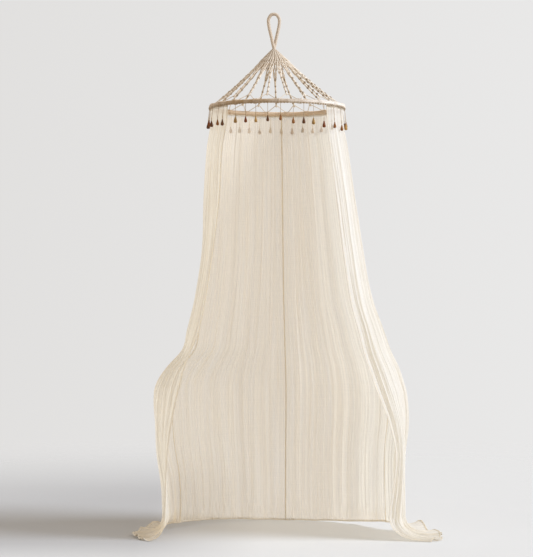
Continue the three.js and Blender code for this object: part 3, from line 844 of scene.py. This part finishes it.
# %% The path tree
INPUT_KINDS = {
    "Lines": "NodeSocketGeometry",
    "Copy": "NodeSocketObject",
    "Pitch": "NodeSocketFloat",
    "Unevenness": "NodeSocketFloat",
    "Seed": "NodeSocketInt",
    "Finish": "NodeSocketMaterial",
}


def new_geometry_tree(name, inputs):
    nodes = bpy.data.node_groups.new(name, "GeometryNodeTree")
    for title in inputs:
        nodes.interface.new_socket(name=title, in_out="INPUT", socket_type=INPUT_KINDS[title])
    nodes.interface.new_socket(name="Pieces", in_out="OUTPUT", socket_type="NodeSocketGeometry")
    tree = Tree(nodes)
    return nodes, tree, tree.add("NodeGroupInput")


def set_copies(tree, given, points, rotation):
    """Copies on points, uneven in size, made real and given their finish."""
    shape = tree.add(
        "GeometryNodeObjectInfo", {"transform_space": "ORIGINAL"}, {"Object": given.out("Copy")}, "Geometry"
    )
    uneven = given.out("Unevenness")
    size = tree.add(
        "FunctionNodeRandomValue",
        {"data_type": "FLOAT"},
        {2: 1 - uneven, 3: 1 + uneven, "Seed": given.out("Seed")},
        1,
    )
    copies = tree.add(
        "GeometryNodeInstanceOnPoints",
        {},
        {"Points": points, "Instance": shape, "Rotation": rotation, "Scale": size},
    )
    whole = tree.add("GeometryNodeRealizeInstances", {}, {"Geometry": copies})
    done = tree.add("GeometryNodeSetMaterial", {}, {"Geometry": whole, "Material": given.out("Finish")})
    tree.add("NodeGroupOutput", {}, {"Pieces": done})


def path_tree():
    nodes, tree, given = new_geometry_tree("copies_along_a_path", INPUT_KINDS)
    curves = tree.add("GeometryNodeMeshToCurve", {}, {"Mesh": given.out("Lines")})
    level = tree.add("GeometryNodeSetCurveNormal", {"mode": "Z_UP"}, {"Curve": curves})
    points = tree.add(
        "GeometryNodeCurveToPoints", {"mode": "LENGTH"}, {"Curve": level, "Length": given.out("Pitch")}
    )
    set_copies(tree, given, points, points.out("Rotation"))
    return nodes


PATH_TREE = path_tree()
print("tree", PATH_TREE.name, "with inputs", list(INPUT_KINDS))


# %% Growing a piece
def grown(name, mesh, nodes, **inputs):
    """A piece that a Geometry Nodes tree makes from a mesh, turned into a plain mesh."""
    piece = bpy.data.objects.new(name, mesh)
    bpy.context.scene.collection.objects.link(piece)
    growth = piece.modifiers.new("growth", "NODES")
    growth.node_group = nodes
    for socket in nodes.interface.items_tree:
        if socket.in_out == "INPUT" and socket.name in inputs:
            growth[socket.identifier] = inputs[socket.name]
    shown = piece.evaluated_get(bpy.context.evaluated_depsgraph_get())
    plain = bpy.data.meshes.new_from_object(shown)
    piece.modifiers.clear()
    piece.data = plain
    bpy.data.objects.remove(inputs["Copy"])
    print(name, len(plain.vertices), "points", len(plain.polygons), "faces")
    return piece


def line_mesh(name, lines, closed=False):
    """A mesh of edges along each line of points."""
    mesh = bpy.data.meshes.new(name)
    edges, start = [], 0
    for line in lines:
        edges += [(start + i, start + i + 1) for i in range(len(line) - 1)]
        if closed:
            edges.append((start + len(line) - 1, start))
        start += len(line)
    mesh.from_pydata((np.concatenate(lines) + HANG).tolist(), edges, [])
    return mesh


def sown(name, lines, part, finish, pitch, unevenness, seed, closed=False):
    """A piece of copies of one small part, set along lines by the path tree."""
    return grown(
        name,
        line_mesh(f"{name}_lines", lines, closed),
        PATH_TREE,
        Copy=add_piece(f"one_of_{name}", part, finish, ORIGIN),
        Pitch=pitch,
        Unevenness=unevenness,
        Seed=seed,
        Finish=finish,
    )


print("pieces can be sown by", PATH_TREE.name)

# %% [markdown]
# ## Stitches
#
# Every seam and hem is held by a line of running stitches that shows on both faces of the cloth. One
# stitch is a short spindle of thread, and the path tree sows thousands of them.

# %% Stitches
STITCH_PITCH = 0.0065
STITCH_HALF = 0.0021
STITCH_RADIUS = 0.0006
STITCH_OUT = 0.0009
STITCH_INSET = 0.0065
SEAM_STITCH_INSET = 0.0020
STITCH_SHARES = np.array([0.25, 1.0, 1.0, 0.25])
STITCH_SIDES = 4
STITCH_MARK = 1.0


def stitch_lines():
    """Lines of stitches on both faces, along the hem, the front edges and the seams."""
    hem, first, last = -1, np.s_[:, 0], np.s_[:, -1]
    lines = []
    for name, (_, start, end, *_) in PANELS.items():
        points, facing = grids[name]
        rows = [(hem, -STITCH_INSET)]
        if start == LEFT_EDGE:
            rows.append((first, -STITCH_INSET))
        if end == RIGHT_EDGE:
            rows.append((last, STITCH_INSET))
        else:
            rows += [(last, SEAM_STITCH_INSET), (last, -SEAM_STITCH_INSET)]
        for out in (STITCH_OUT, -STITCH_OUT):
            for at, inset in rows:
                lines.append(points[at] + inset * beside(points[at], facing[at]) + out * facing[at])
    return lines


def spindle(half, radius, shares, mark, sides, lift=0.0):
    """A short upright cord about the z axis, whose radius changes along it by shares."""
    path = np.zeros((len(shares), 3))
    path[:, 2] = np.linspace(-half, half, len(shares)) + lift
    return tube(path, radius * shares, mark, sides)


thread = spindle(STITCH_HALF, STITCH_RADIUS, STITCH_SHARES, STITCH_MARK, STITCH_SIDES)
stitch = in_metres(thread, 2 * np.pi * STITCH_RADIUS)
stitching = sown("gauze_stitching", stitch_lines(), stitch, GAUZE, STITCH_PITCH, unevenness=0.15, seed=3)

# %% [markdown]
# ## The wrapped hoop
#
# The hoop is a ring with cord wound round it, turn against turn. A helix would need one very long tube.
# Single turns side by side look the same and are simpler, so one slightly slanted turn is copied along
# the ring, over a core that closes the gaps between turns. The core is dark by its mark: painted shade in
# those gaps.

# %% Hoop
HOOP_RADIUS = 0.297
HOOP_TUBE_RADIUS = 0.008
WRAP_RADIUS = 0.0098
HOOP_HEIGHT = 1.929
HOOP_STEPS = 160
WRAP_PITCH = 0.0040
WRAP_CORD_RADIUS = 0.0021
WRAP_SLANT = 0.0020
WRAP_STEPS = 14
CORE_SIDES = 8
# The core's mark darkens it: painted shade between the turns.
CORE_MARK = 0.8


def ring_part(half_wide, half_deep, radius, slant, lift, steps, mark=0.0, sides=CORD_SIDES):
    """A closed turn of cord about the z axis, slanted from its left to its right."""
    angle = angles(steps)
    wide, deep = half_wide * np.cos(angle), half_deep * np.sin(angle)
    middle = np.stack([wide, deep, lift + slant * np.cos(angle)], -1)
    out = unit(np.stack([np.cos(angle) / half_wide, np.sin(angle) / half_deep, 0 * angle], -1))
    turn = -angles(sides)
    rings = middle[:, None] + radius * np.cos(turn)[:, None] * out[:, None]
    rings[..., 2] += radius * np.sin(turn)
    lengths = lengths_of(np.concatenate([middle, middle[:1]]))
    return ringed_part(rings, lengths, mark, closed=True)


def hoop_line(radius, height):
    angle = angles(HOOP_STEPS)
    return np.stack([radius * np.cos(angle), radius * np.sin(angle), height + 0 * angle], -1)


turn_radius = WRAP_RADIUS - WRAP_CORD_RADIUS
turn_part = ring_part(turn_radius, turn_radius, WRAP_CORD_RADIUS, WRAP_SLANT, 0, WRAP_STEPS)
hoop_lines = [hoop_line(HOOP_RADIUS, HOOP_HEIGHT)]
wrapping = sown(
    "hoop_wrapping", hoop_lines, turn_part, HOOP_WRAP, WRAP_PITCH, unevenness=0.05, seed=5, closed=True
)
core_layout = (turn_radius, 0, HOOP_HEIGHT, HOOP_STEPS, CORE_MARK, CORE_SIDES)
core = add_piece("hoop_core", ring_part(HOOP_RADIUS, HOOP_RADIUS, *core_layout), HOOP_WRAP)

# %% [markdown]
# ## Bead strings
#
# Under the hoop's outer side runs a row of small knots, and from it hang the strings that carry the
# drops. The front ones hang unevenly, each by its own drop. Where the cloth is behind a string, the string
# leans out over it. Strings are thin tubes with a knot above each bead. They could be curves with a
# bevel, but a mesh keeps the twist on a UV map of its own.

# %% Strings
STRIP_RADIUS = 0.0015
STRIP_GAP = 0.0003
STRIP_OUT = (HOOP_TUBE_RADIUS + STRIP_GAP + STRIP_RADIUS) * np.sqrt(0.5)
STRIP_HEIGHT = HOOP_HEIGHT - STRIP_OUT
STRIP_REACH = HOOP_RADIUS + STRIP_OUT
STRING_RADIUS = 0.0011
STRING_DROP = 0.057
STRING_LEAN = 0.1
STRING_KNOT_RADIUS = 0.0021
STRING_STEPS = 12
STRING_MARK = 0.35
STRIP_MARK = 0.12
BEAD_UNEVEN = 0.003
BEAD_UNEVEN_TURN = 2.4
FRONT_BEADS = table(
    "turn drop",
    [
        (-70, 0.061),
        (-58, 0.061),
        (-51, 0.063),
        (-37, 0.055),
        (-27, 0.058),
        (-18, 0.059),
        (-8, 0.056),
        (2.5, 0.052),
        (13, 0.065),
        (22, 0.062),
        (31, 0.063),
        (42, 0.073),
        (54, 0.074),
        (66, 0.082),
        (81, 0.071),
    ],
)
OTHER_BEADS = 21


def bead_places():
    """Each bead's turn from the front and its drop. The far ones are spread evenly."""
    first, last = FRONT_BEADS["turn"][[0, -1]]
    other = np.arange(OTHER_BEADS)
    turns = last + (360 + first - last) * (other + 1) / (OTHER_BEADS + 1)
    drops = STRING_DROP + BEAD_UNEVEN * np.sin(BEAD_UNEVEN_TURN * other)
    return np.radians(np.append(FRONT_BEADS["turn"], turns)), np.append(FRONT_BEADS["drop"], drops)


def string_ends():
    """Where each string leaves the hoop and where it ends on its bead."""
    turns, drops = bead_places()
    outward = np.stack([np.sin(turns), -np.cos(turns), 0 * turns], -1)
    start = outward * STRIP_REACH
    start[:, 2] = STRIP_HEIGHT
    edge, _ = outline_at(np.array(float(RIGHT_EDGE)), np.array(CLOTH_TOP))
    lean = np.where(start[:, 1] > edge[1], STRING_LEAN * drops, 0)
    end = start + outward * lean[:, None]
    end[:, 2] -= drops
    return start, end


def string_part(start, end):
    path = start + (end - start) * np.linspace(0, 1, STRING_STEPS)[:, None]
    radius = np.full(STRING_STEPS, STRING_RADIUS)
    radius[-3:-1] = STRING_KNOT_RADIUS
    return tube(path, radius, STRING_MARK)


string_starts, bead_tops = string_ends()
strip = ring_part(STRIP_REACH, STRIP_REACH, STRIP_RADIUS, 0, STRIP_HEIGHT, HOOP_STEPS, STRIP_MARK)
string_parts = [string_part(*ends) for ends in zip(string_starts, bead_tops)]
strings = add_piece("bead_string_row", joined([strip] + string_parts), BEAD_STRING)

# %% Small knots under the hoop
STRIP_KNOT_PITCH = 0.0145
# The knots are darkened by their mark: painted shade under the hoop.
STRIP_KNOT_MARK = 0.5
STRIP_KNOT_HALF = 0.0026
STRIP_KNOT_CORD = 0.0014
STRIP_KNOT_SLANT = 0.0011
STRIP_KNOT_LIFT = 0.0012
KNOT_STEPS = 10


def strip_knot(way):
    """One of the two turns of a small knot, slanted and set off the middle by its way."""
    slope = (way * STRIP_KNOT_SLANT, way * STRIP_KNOT_LIFT)
    size = (STRIP_KNOT_HALF, STRIP_KNOT_HALF, STRIP_KNOT_CORD)
    return ring_part(*size, *slope, KNOT_STEPS, STRIP_KNOT_MARK)


strip_knots = sown(
    "hoop_knot_row",
    [hoop_line(STRIP_REACH, STRIP_HEIGHT)],
    joined([strip_knot(1), strip_knot(-1)]),
    BEAD_STRING,
    STRIP_KNOT_PITCH,
    unevenness=0.18,
    seed=8,
    closed=True,
)

# %% [markdown]
# ## Wooden drops
#
# Each bead is a turned drop, slim at the string and full near its foot. A second tree hangs one lathed
# drop on every point of a cloud of points, turned about its string by chance. The tone stored on a
# point travels to its copy, so neighbours differ as dyed beads do.

# %% Beads
BEAD_LENGTH = 0.028
BEAD_RADIUS = 0.0071
BEAD_GAP = 0.0003
BEAD_SIDES = 20
BEAD_STEPS = 18
BEAD_PROFILE = table(
    "down out",
    [
        (0, 0.20),
        (0.02, 0.30),
        (0.2, 0.44),
        (0.4, 0.68),
        (0.6, 0.90),
        (0.76, 1.0),
        (0.9, 0.91),
        (0.97, 0.68),
        (1, 0.3),
    ],
)
WOOD_TONES = {
    "walnut": (0.13, 0.050, 0.016, 1),
    "redwood": (0.21, 0.060, 0.015, 1),
    "chestnut": (0.29, 0.118, 0.030, 1),
    "olive": (0.36, 0.21, 0.065, 1),
    "honey": (0.48, 0.28, 0.085, 1),
}
FRONT_TONES = (
    "walnut chestnut walnut olive redwood honey walnut chestnut "
    "chestnut walnut olive redwood chestnut chestnut honey"
).split()
OTHER_TONES = "chestnut walnut redwood chestnut olive redwood".split()


def drop_part():
    """A lathed drop that hangs from the origin."""
    down = np.linspace(0, 1, BEAD_STEPS)
    out = (smooth_at(BEAD_PROFILE, "down", "out", down) * BEAD_RADIUS)[:, None]
    turn = -angles(BEAD_SIDES)
    height = -BEAD_LENGTH * down[:, None] + 0 * turn
    rings = np.stack([out * np.cos(turn), out * np.sin(turn), height], -1)
    return ringed_part(rings, BEAD_LENGTH * down, 0.0)


print("drop of", BEAD_LENGTH, "m in", len(WOOD_TONES), "tones")


# %% Hanging the beads
def point_tree():
    """Copies on loose points, each turned about its own upright by chance."""
    titles = [title for title in INPUT_KINDS if title != "Pitch"]
    nodes, tree, given = new_geometry_tree("copies_on_points", titles)
    points = tree.add("GeometryNodeMeshToPoints", {}, {"Mesh": given.out("Lines")})
    spin = tree.add(
        "FunctionNodeRandomValue",
        {"data_type": "FLOAT_VECTOR"},
        {0: (0, 0, 0), 1: (0, 0, 2 * np.pi), "Seed": given.out("Seed")},
        0,
    )
    set_copies(tree, given, points, spin)
    return nodes


tone_names = FRONT_TONES + [OTHER_TONES[i % len(OTHER_TONES)] for i in range(OTHER_BEADS)]
bead_points = bpy.data.meshes.new("bead_points")
bead_points.from_pydata((bead_tops + HANG - (0, 0, BEAD_GAP)).tolist(), [], [])
tones = np.array([WOOD_TONES[name] for name in tone_names])
bead_points.attributes.new("tone", "FLOAT_COLOR", "POINT").data.foreach_set("color", tones.ravel())
beads = grown(
    "wooden_drops",
    bead_points,
    point_tree(),
    Copy=add_piece("one_drop", drop_part(), BEAD_WOOD, ORIGIN),
    Unevenness=0.06,
    Seed=13,
    Finish=BEAD_WOOD,
)

# %% [markdown]
# ## The macrame crown
#
# Nineteen strands fan out from the neck to the hoop. Each is a chain of square knots on two core cords.
# The gap between two knots is a dark spindle: painted shade, where the cord is drawn in. One knot is five
# slanted turns that lean left and right by turns, as the crossings of a square knot do, with the dark
# spindle above it. The path tree sets the knots along every strand. At the head each strand is four cords
# that swing to and fro and cross, so that together they make a net over dark cords, which are painted
# shade. They, the cores and the legs that spread to the hoop are tubes. The two turns that each leg takes
# round the hoop are a piece of their own, because they have the finish of the hoop's wrapping.

# %% Strand paths
HOOK_X = -0.014
STRAND_COUNT = 19
STRAND_SAG = 0.012
SAG_RAMP = 4
HEAD_TOP_RADIUS = 0.008
SLANT_TOP = 2.1907
SPLIT_LENGTH = 0.060
SPLIT_REACH = 0.42
STRAND_STEP = 2 * np.pi / STRAND_COUNT
KNOT_START = 0.46
strand_turns = -np.pi / 2 + (np.arange(STRAND_COUNT) + 0.5) * STRAND_STEP


def slant_points(turn, share):
    """Points on the way from the crown's top to the hoop, sagging a little between them."""
    share = np.asarray(share, float)[..., None]
    turn = np.asarray(turn, float)[..., None]
    over = np.concatenate([np.cos(turn), np.sin(turn), 0 * turn], -1)
    apex = HEAD_TOP_RADIUS * over + (HOOK_X, 0, SLANT_TOP)
    foot = HOOP_RADIUS * over + (0, 0, HOOP_HEIGHT)
    sag = STRAND_SAG * np.sin(np.pi * share) * np.clip(SAG_RAMP * share, 0, 1)
    return apex + (foot - apex) * share - sag * (0, 0, 1)


apexes, feet = (slant_points(strand_turns, np.full(STRAND_COUNT, share)) for share in (0.0, 1.0))
slants = np.linalg.norm(feet - apexes, axis=1)
foot_shares = 1 - SPLIT_LENGTH / slants
print("strands", STRAND_COUNT, "from", round(slants.min(), 3), "to", round(slants.max(), 3), "m long")

# %% Knots along the strands
KNOT_PITCH = 0.0300
KNOT_TURNS = 5
KNOT_TURN_STEP = 0.0038
KNOT_HALF_WIDE = 0.0021
KNOT_HALF_DEEP = 0.0019
KNOT_CORD_RADIUS = 0.0020
KNOT_SLANT = 0.0012
# The gap above each knot is a dark spindle: painted shade where the cord lies between knots.
GAP_SHADE_HALF = 0.0060
GAP_SHADE_RADIUS = 0.0050
GAP_SHADE_SIDES = 8
GAP_SHADE_SHARES = np.array([0.55, 0.9, 1.0, 1.0, 0.9, 0.55])
GAP_SHADE_MARKS = np.array([0.6, 1.0, 1.0, 1.0, 1.0, 0.6])
STRAND_STEPS = 40


def knot_part():
    """One square knot of five turns, with a dark spindle above it: painted shade for the gap."""
    lifts = (np.arange(KNOT_TURNS) - (KNOT_TURNS - 1) / 2) * KNOT_TURN_STEP
    size = (KNOT_HALF_WIDE, KNOT_HALF_DEEP, KNOT_CORD_RADIUS)
    turns = [ring_part(*size, KNOT_SLANT * (-1) ** i, lift, KNOT_STEPS) for i, lift in enumerate(lifts)]
    gap_shade = spindle(GAP_SHADE_HALF, GAP_SHADE_RADIUS, GAP_SHADE_SHARES, GAP_SHADE_MARKS, GAP_SHADE_SIDES, -KNOT_PITCH / 2)
    return joined(turns + [gap_shade])


knot_lines = [
    slant_points(np.full(STRAND_STEPS, turn), np.linspace(KNOT_START, foot, STRAND_STEPS))
    for turn, foot in zip(strand_turns, foot_shares)
]
knots = sown("crown_knots", knot_lines, knot_part(), CROWN_CORD, KNOT_PITCH, unevenness=0.07, seed=21)

# %% Head cords
HEAD_CORDS = 4
HEAD_START = -0.025
HEAD_END = 0.50
HEAD_WEAVE = 0.0022
SHADE_DROP = 0.004
SHADE_RADIUS = 0.0032
SHADE_END = 0.33
SHADE_TAPER = 0.2
SHADE_MARK = 0.75
SHADE_LEAST = 0.1
HEAD_MARK = 0.70
HEAD_LIT_X = 0.04
HEAD_SHADED_X = -0.015
HEAD_LIT_SHARE = 0.35
HEAD_SPREAD = table(
    "share fill",
    [(HEAD_START, 0.5), (0.10, 0.5), (0.17, 0.8), (0.26, 0.8), (0.36, 0.40), (HEAD_END, 0.1)],
)
HEAD_CORD_SIZE = table(
    "share size",
    [(HEAD_START, 0.0013), (0.05, 0.0016), (0.18, 0.0024), (HEAD_END, 0.0022)],
)
NET_START = 0.10
NET_ROW = 0.075
NET_PINCH = 0.30


def head_cords(turn):
    """A strand's cords at the head. They swing to and fro and cross, then gather. A dark cord under them is
    painted shade.
    """
    share = np.linspace(HEAD_START, HEAD_END, STRAND_STEPS)
    fill = smooth_at(HEAD_SPREAD, "share", "fill", share)
    loose = np.clip((share - NET_START) / NET_ROW, 0, 1)
    swing = NET_PINCH * np.cos(np.pi * share / NET_ROW) * loose
    parts = []
    for i in range(HEAD_CORDS):
        aside = (i - (HEAD_CORDS - 1) / 2 + swing * (-1) ** i) / HEAD_CORDS
        path = slant_points(turn + aside * fill * STRAND_STEP, share)
        path[:, 2] += HEAD_WEAVE * (-1) ** i * np.sin(np.pi * share / NET_ROW) * loose
        # Darker towards the left: painted shade, for a light from the right.
        shaded = np.interp(-path[:, 0], (-HEAD_LIT_X, -HEAD_SHADED_X), (HEAD_LIT_SHARE, 1))
        marks = HEAD_MARK * (shaded * (1 - share / HEAD_END))
        parts.append(tube(path, smooth_at(HEAD_CORD_SIZE, "share", "size", share), marks))
    inner = share < SHADE_END
    # The under cord is a dark cord: painted shade between the net's cords.
    under = slant_points(turn + 0.5 * STRAND_STEP, share[inner]) - (0, 0, SHADE_DROP)
    left = np.clip((SHADE_END - share[inner]) / SHADE_TAPER, SHADE_LEAST, 1)
    return parts + [tube(under, SHADE_RADIUS * left, SHADE_MARK * left)]


print("cords at the head", HEAD_CORDS * STRAND_COUNT)

# %% Cores and legs
CORE_RADIUS = 0.0019
CORE_APART = 0.0014
CORE_CORD_MARK = 0.45
CORE_OVERLAP = 0.02
CORE_STEPS = 46
LEG_RADIUS = 0.0017
LEG_MARK = 0.25
LEG_WRAP_RADIUS = WRAP_RADIUS + 0.0006
LEG_TURNS = 2
LEG_TURN_STEP = 0.0036
LEG_TURN_POINTS = 15
LEG_WIND_START = np.radians(125)
LEG_OVERLAP = 0.01
LEG_RUN_SHARE = 0.94
LEG_RUN_STEPS = 9
LEG_GRIP_POINTS = 3


def strand_cores(turn, foot):
    share = np.linspace(KNOT_START - CORE_OVERLAP, foot + CORE_OVERLAP, CORE_STEPS)
    path = slant_points(np.full(CORE_STEPS, turn), share)
    aside = CORE_APART * np.array([-np.sin(turn), np.cos(turn), 0])
    return [tube(path + way * aside, CORE_RADIUS, CORE_CORD_MARK) for way in (1, -1)]


def leg(turn, foot, way):
    """A cord from a strand's foot to the hoop, and its two turns round the hoop."""
    aim = turn + way * SPLIT_REACH * STRAND_STEP
    root = slant_points(np.array([turn]), np.array([foot - LEG_OVERLAP]))[0]
    across = np.array([-np.sin(aim), np.cos(aim), 0])
    outward = np.array([np.cos(aim), np.sin(aim), 0])
    hoop_centre = HOOP_RADIUS * outward + (0, 0, HOOP_HEIGHT)
    wind = LEG_WIND_START - np.linspace(0, 2 * np.pi * LEG_TURNS, LEG_TURN_POINTS * LEG_TURNS)
    advance = way * LEG_TURN_STEP * (LEG_WIND_START - wind) / (2 * np.pi)
    around = np.cos(wind)[:, None] * outward + np.sin(wind)[:, None] * np.array([0, 0, 1])
    winding = hoop_centre + LEG_WRAP_RADIUS * around + advance[:, None] * across
    run = root + (winding[0] - root) * np.linspace(0, LEG_RUN_SHARE, LEG_RUN_STEPS)[:, None]
    reach = tube(np.concatenate([run, winding[:LEG_GRIP_POINTS]]), LEG_RADIUS, LEG_MARK)
    return reach, tube(winding, LEG_RADIUS)


legs = [leg(turn, foot, way) for turn, foot in zip(strand_turns, foot_shares) for way in (-1, 1)]
crown_parts = [run for run, _ in legs]
for turn, foot in zip(strand_turns, foot_shares):
    crown_parts += head_cords(turn) + strand_cores(turn, foot)
crown_cords = add_piece("crown_cords", joined(crown_parts), CROWN_CORD)
ties = add_piece("hoop_ties", joined([winding for _, winding in legs]), HOOP_WRAP)

# %% [markdown]
# ## The rope loop
#
# A thick braided rope is bent into a loop, and its two ends run side by side into the crown. The strands
# of a braid wind both ways and cross, so the rope's surface is the higher of two slanting waves. A plain
# tube would look like plastic.

# %% Rope loop
ROPE_RADIUS = 0.0069
ROPE_SIDES = 36
BRAID_STRANDS = 6
BRAID_LAY = 0.022
BRAID_DEPTH = 0.0004
LOOP_STEPS = 520
LOOP_HALF = [
    (0.0140, 0, 2.344),
    (0.0245, 0, 2.324),
    (0.0225, 0, 2.294),
    (0.0150, 0.001, 2.260),
    (0.0100, 0.003, 2.238),
    (0.0060, 0.004, 2.219),
    (0.0025, 0.005, 2.204),
    (-0.0020, 0.004, 2.186),
]
LOOP_TOP = 2.349


def smooth_path(corners, count):
    """A curve through its corner points, as a Catmull-Rom spline."""
    corners = np.asarray(corners, float)
    padded = np.concatenate([2 * corners[:1] - corners[1:2], corners, 2 * corners[-1:] - corners[-2:-1]])
    at = np.linspace(0, len(corners) - 1, count)
    i = np.minimum(at.astype(int), len(corners) - 2)
    t = (at - i)[:, None]
    before, start, end, after = padded[i], padded[i + 1], padded[i + 2], padded[i + 3]
    bend = 2 * before - 5 * start + 4 * end - after
    turn = 3 * start - before - 3 * end + after
    return start + 0.5 * t * (end - before + t * (bend + t * turn))


def loop_path():
    """The middle of the rope, up one leg, round the top and down the other, mirrored about the hook."""
    right = np.array(LOOP_HALF)
    left = right[::-1] * (-1, -1, 1)
    corners = np.concatenate([left, [(0, 0, LOOP_TOP)], right])
    return smooth_path(corners + (HOOK_X, 0, 0), LOOP_STEPS)


def braided(path):
    """A round rope whose strands wind both ways and cross over each other."""
    angle, along = angles(ROPE_SIDES), lengths_of(path)
    wound = 2 * np.pi * along[:, None] / BRAID_LAY
    ridge = np.maximum(np.cos(BRAID_STRANDS * (angle + wound)), np.cos(BRAID_STRANDS * (angle - wound)))
    radii = ROPE_RADIUS + BRAID_DEPTH * ridge
    return ringed_part(path[:, None] + radii[..., None] * spokes(path, ROPE_SIDES), along, 0.0)


loop = add_piece("rope_loop", braided(loop_path()), LOOP_ROPE)

# %% [markdown]
# ## Riding and replacing
#
# Nothing on the canopy has a joint, so every piece rides on the one body. Each piece is listed with the
# solids it stands for, which are hidden, and with the name of a finish slot of the record, which nothing
# here reads.

# %% Frame calls
bead_nodes = [f"bead_{i + 1:02d}" for i in range(len(bead_tops))]
DRESSED = [
    (loop, "loop_rope", ["hanging_loop"]),
    (crown_cords, "crown_cord", ["macrame_crown"]),
    (knots, "crown_cord", []),
    (wrapping, "hoop_wrap", ["hoop"]),
    (core, "hoop_wrap", []),
    (ties, "hoop_wrap", []),
    (strings, "bead_string", ["bead_strings"]),
    (strip_knots, "bead_string", []),
    (beads, "bead_wood", bead_nodes),
    (stitching, "gauze", []),
]
DRESSED += [(panels[name], "gauze", [node]) for name, (node, *_) in PANELS.items()]
for piece, slot, nodes in DRESSED:
    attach(piece, "root")
    if nodes:
        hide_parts(*nodes)

print("pieces", len(DRESSED), "sheets", len(panels))

# %% [markdown]
# ## Floor, backdrop and light
#
# The photograph's studio is a pale floor that runs into a pale wall without a line. A wall would stand
# in the way when the canopy is seen from behind, so the floor is a wide disc that fades out towards its
# rim, and the world behind it has the wall's colour. The studio's light falls off to the left, so the
# floor is dimmer there. One large soft light comes from the right, and a little from the front. A sun
# with a wide angle gives it, because it lights the whole floor evenly. A second, weak sun from the left
# stands for light that comes back from the room, and the world fills the shadows.

# %% Floor
FLOOR_RADIUS = 7.0
FLOOR_COLOUR = (0.695, 0.685, 0.66, 1)
FLOOR_DIM = (0.452, 0.440, 0.427, 1)
DIM_SIDE = (-0.05, -0.60)
DIM_FRONT = (-0.85, -0.20)
DIM_BACK = (4.6, 1.7)
FADE_SPAN = (1.5, 4.5)
FLOOR_SIDES = 96
FLOOR_ROUGHNESS = 0.9


def floor_surface(tree):
    place = tree.add("ShaderNodeTexCoord", output="Object")
    far = tree.add("ShaderNodeVectorMath", {"operation": "LENGTH"}, {0: place}, "Value")
    fade = tree.between(far, *FADE_SPAN)
    spot = tree.split(place)
    depth = tree.between(spot.out("Y"), *DIM_FRONT) * tree.between(spot.out("Y"), *DIM_BACK)
    # Painted shadow: the floor's colour is dimmer to the left, most over a band of depths near the canopy.
    colour = tree.mixed(tree.between(spot, *DIM_SIDE) * depth, FLOOR_COLOUR, FLOOR_DIM)
    floor = tree.add("ShaderNodeBsdfPrincipled", {}, {"Base Color": colour, "Roughness": FLOOR_ROUGHNESS})
    clear = tree.add("ShaderNodeBsdfTransparent")
    return tree.add("ShaderNodeMixShader", {}, {0: fade, 1: floor, 2: clear})


bpy.ops.mesh.primitive_circle_add(
    vertices=FLOOR_SIDES, radius=FLOOR_RADIUS, fill_type="NGON", location=(0, 0, HANG[2])
)
floor = bpy.context.object
floor.name = "studio_floor"
floor.data.materials.append(new_finish("studio_floor", floor_surface))
print("floor at", floor.location[2])

# %% Light
BACKDROP_LEFT = (0.755, 0.745, 0.735, 1)
BACKDROP_RIGHT = (0.815, 0.81, 0.805, 1)
BACKDROP_REACH = 0.18
FILL_COLOUR = (0.635, 0.585, 0.528, 1)
KEY_FROM = (1.0, -0.25, 0.62)
KEY_STRENGTH = 3.5
KEY_SOFTNESS = np.radians(28)
KEY_COLOUR = (0.88, 0.985, 1.16)
BOUNCE_FROM = (-1.0, -0.35, 0.12)
BOUNCE_STRENGTH = 0.25
BOUNCE_SOFTNESS = np.radians(60)
BOUNCE_COLOUR = (0.9, 0.98, 1.06)

world = bpy.data.worlds.new("studio")
bpy.context.scene.world = world
world.use_nodes = True
world.node_tree.nodes.clear()
sky = Tree(world.node_tree)
seen = sky.add("ShaderNodeLightPath", output="Is Camera Ray")
aim = sky.split(sky.add("ShaderNodeTexCoord", output="Generated"))
wall = sky.mixed(sky.between(aim, -BACKDROP_REACH, BACKDROP_REACH), BACKDROP_LEFT, BACKDROP_RIGHT)
back = sky.add("ShaderNodeBackground", {}, {"Color": sky.mixed(seen, FILL_COLOUR, wall)})
sky.add("ShaderNodeOutputWorld", {}, {"Surface": back})


def add_sun(name, source, strength, softness, colour):
    lamp = bpy.data.lights.new(name, "SUN")
    lamp.energy = strength
    lamp.angle = softness
    lamp.color = colour
    sun = bpy.data.objects.new(name, lamp)
    sun.rotation_euler = Vector(source).to_track_quat("Z", "Y").to_euler()
    bpy.context.scene.collection.objects.link(sun)


add_sun("key", KEY_FROM, KEY_STRENGTH, KEY_SOFTNESS, KEY_COLOUR)
add_sun("bounce", BOUNCE_FROM, BOUNCE_STRENGTH, BOUNCE_SOFTNESS, BOUNCE_COLOUR)
bpy.context.scene.view_settings.view_transform = "Standard"
print("key", KEY_STRENGTH, "fill", FILL_COLOUR[:3])
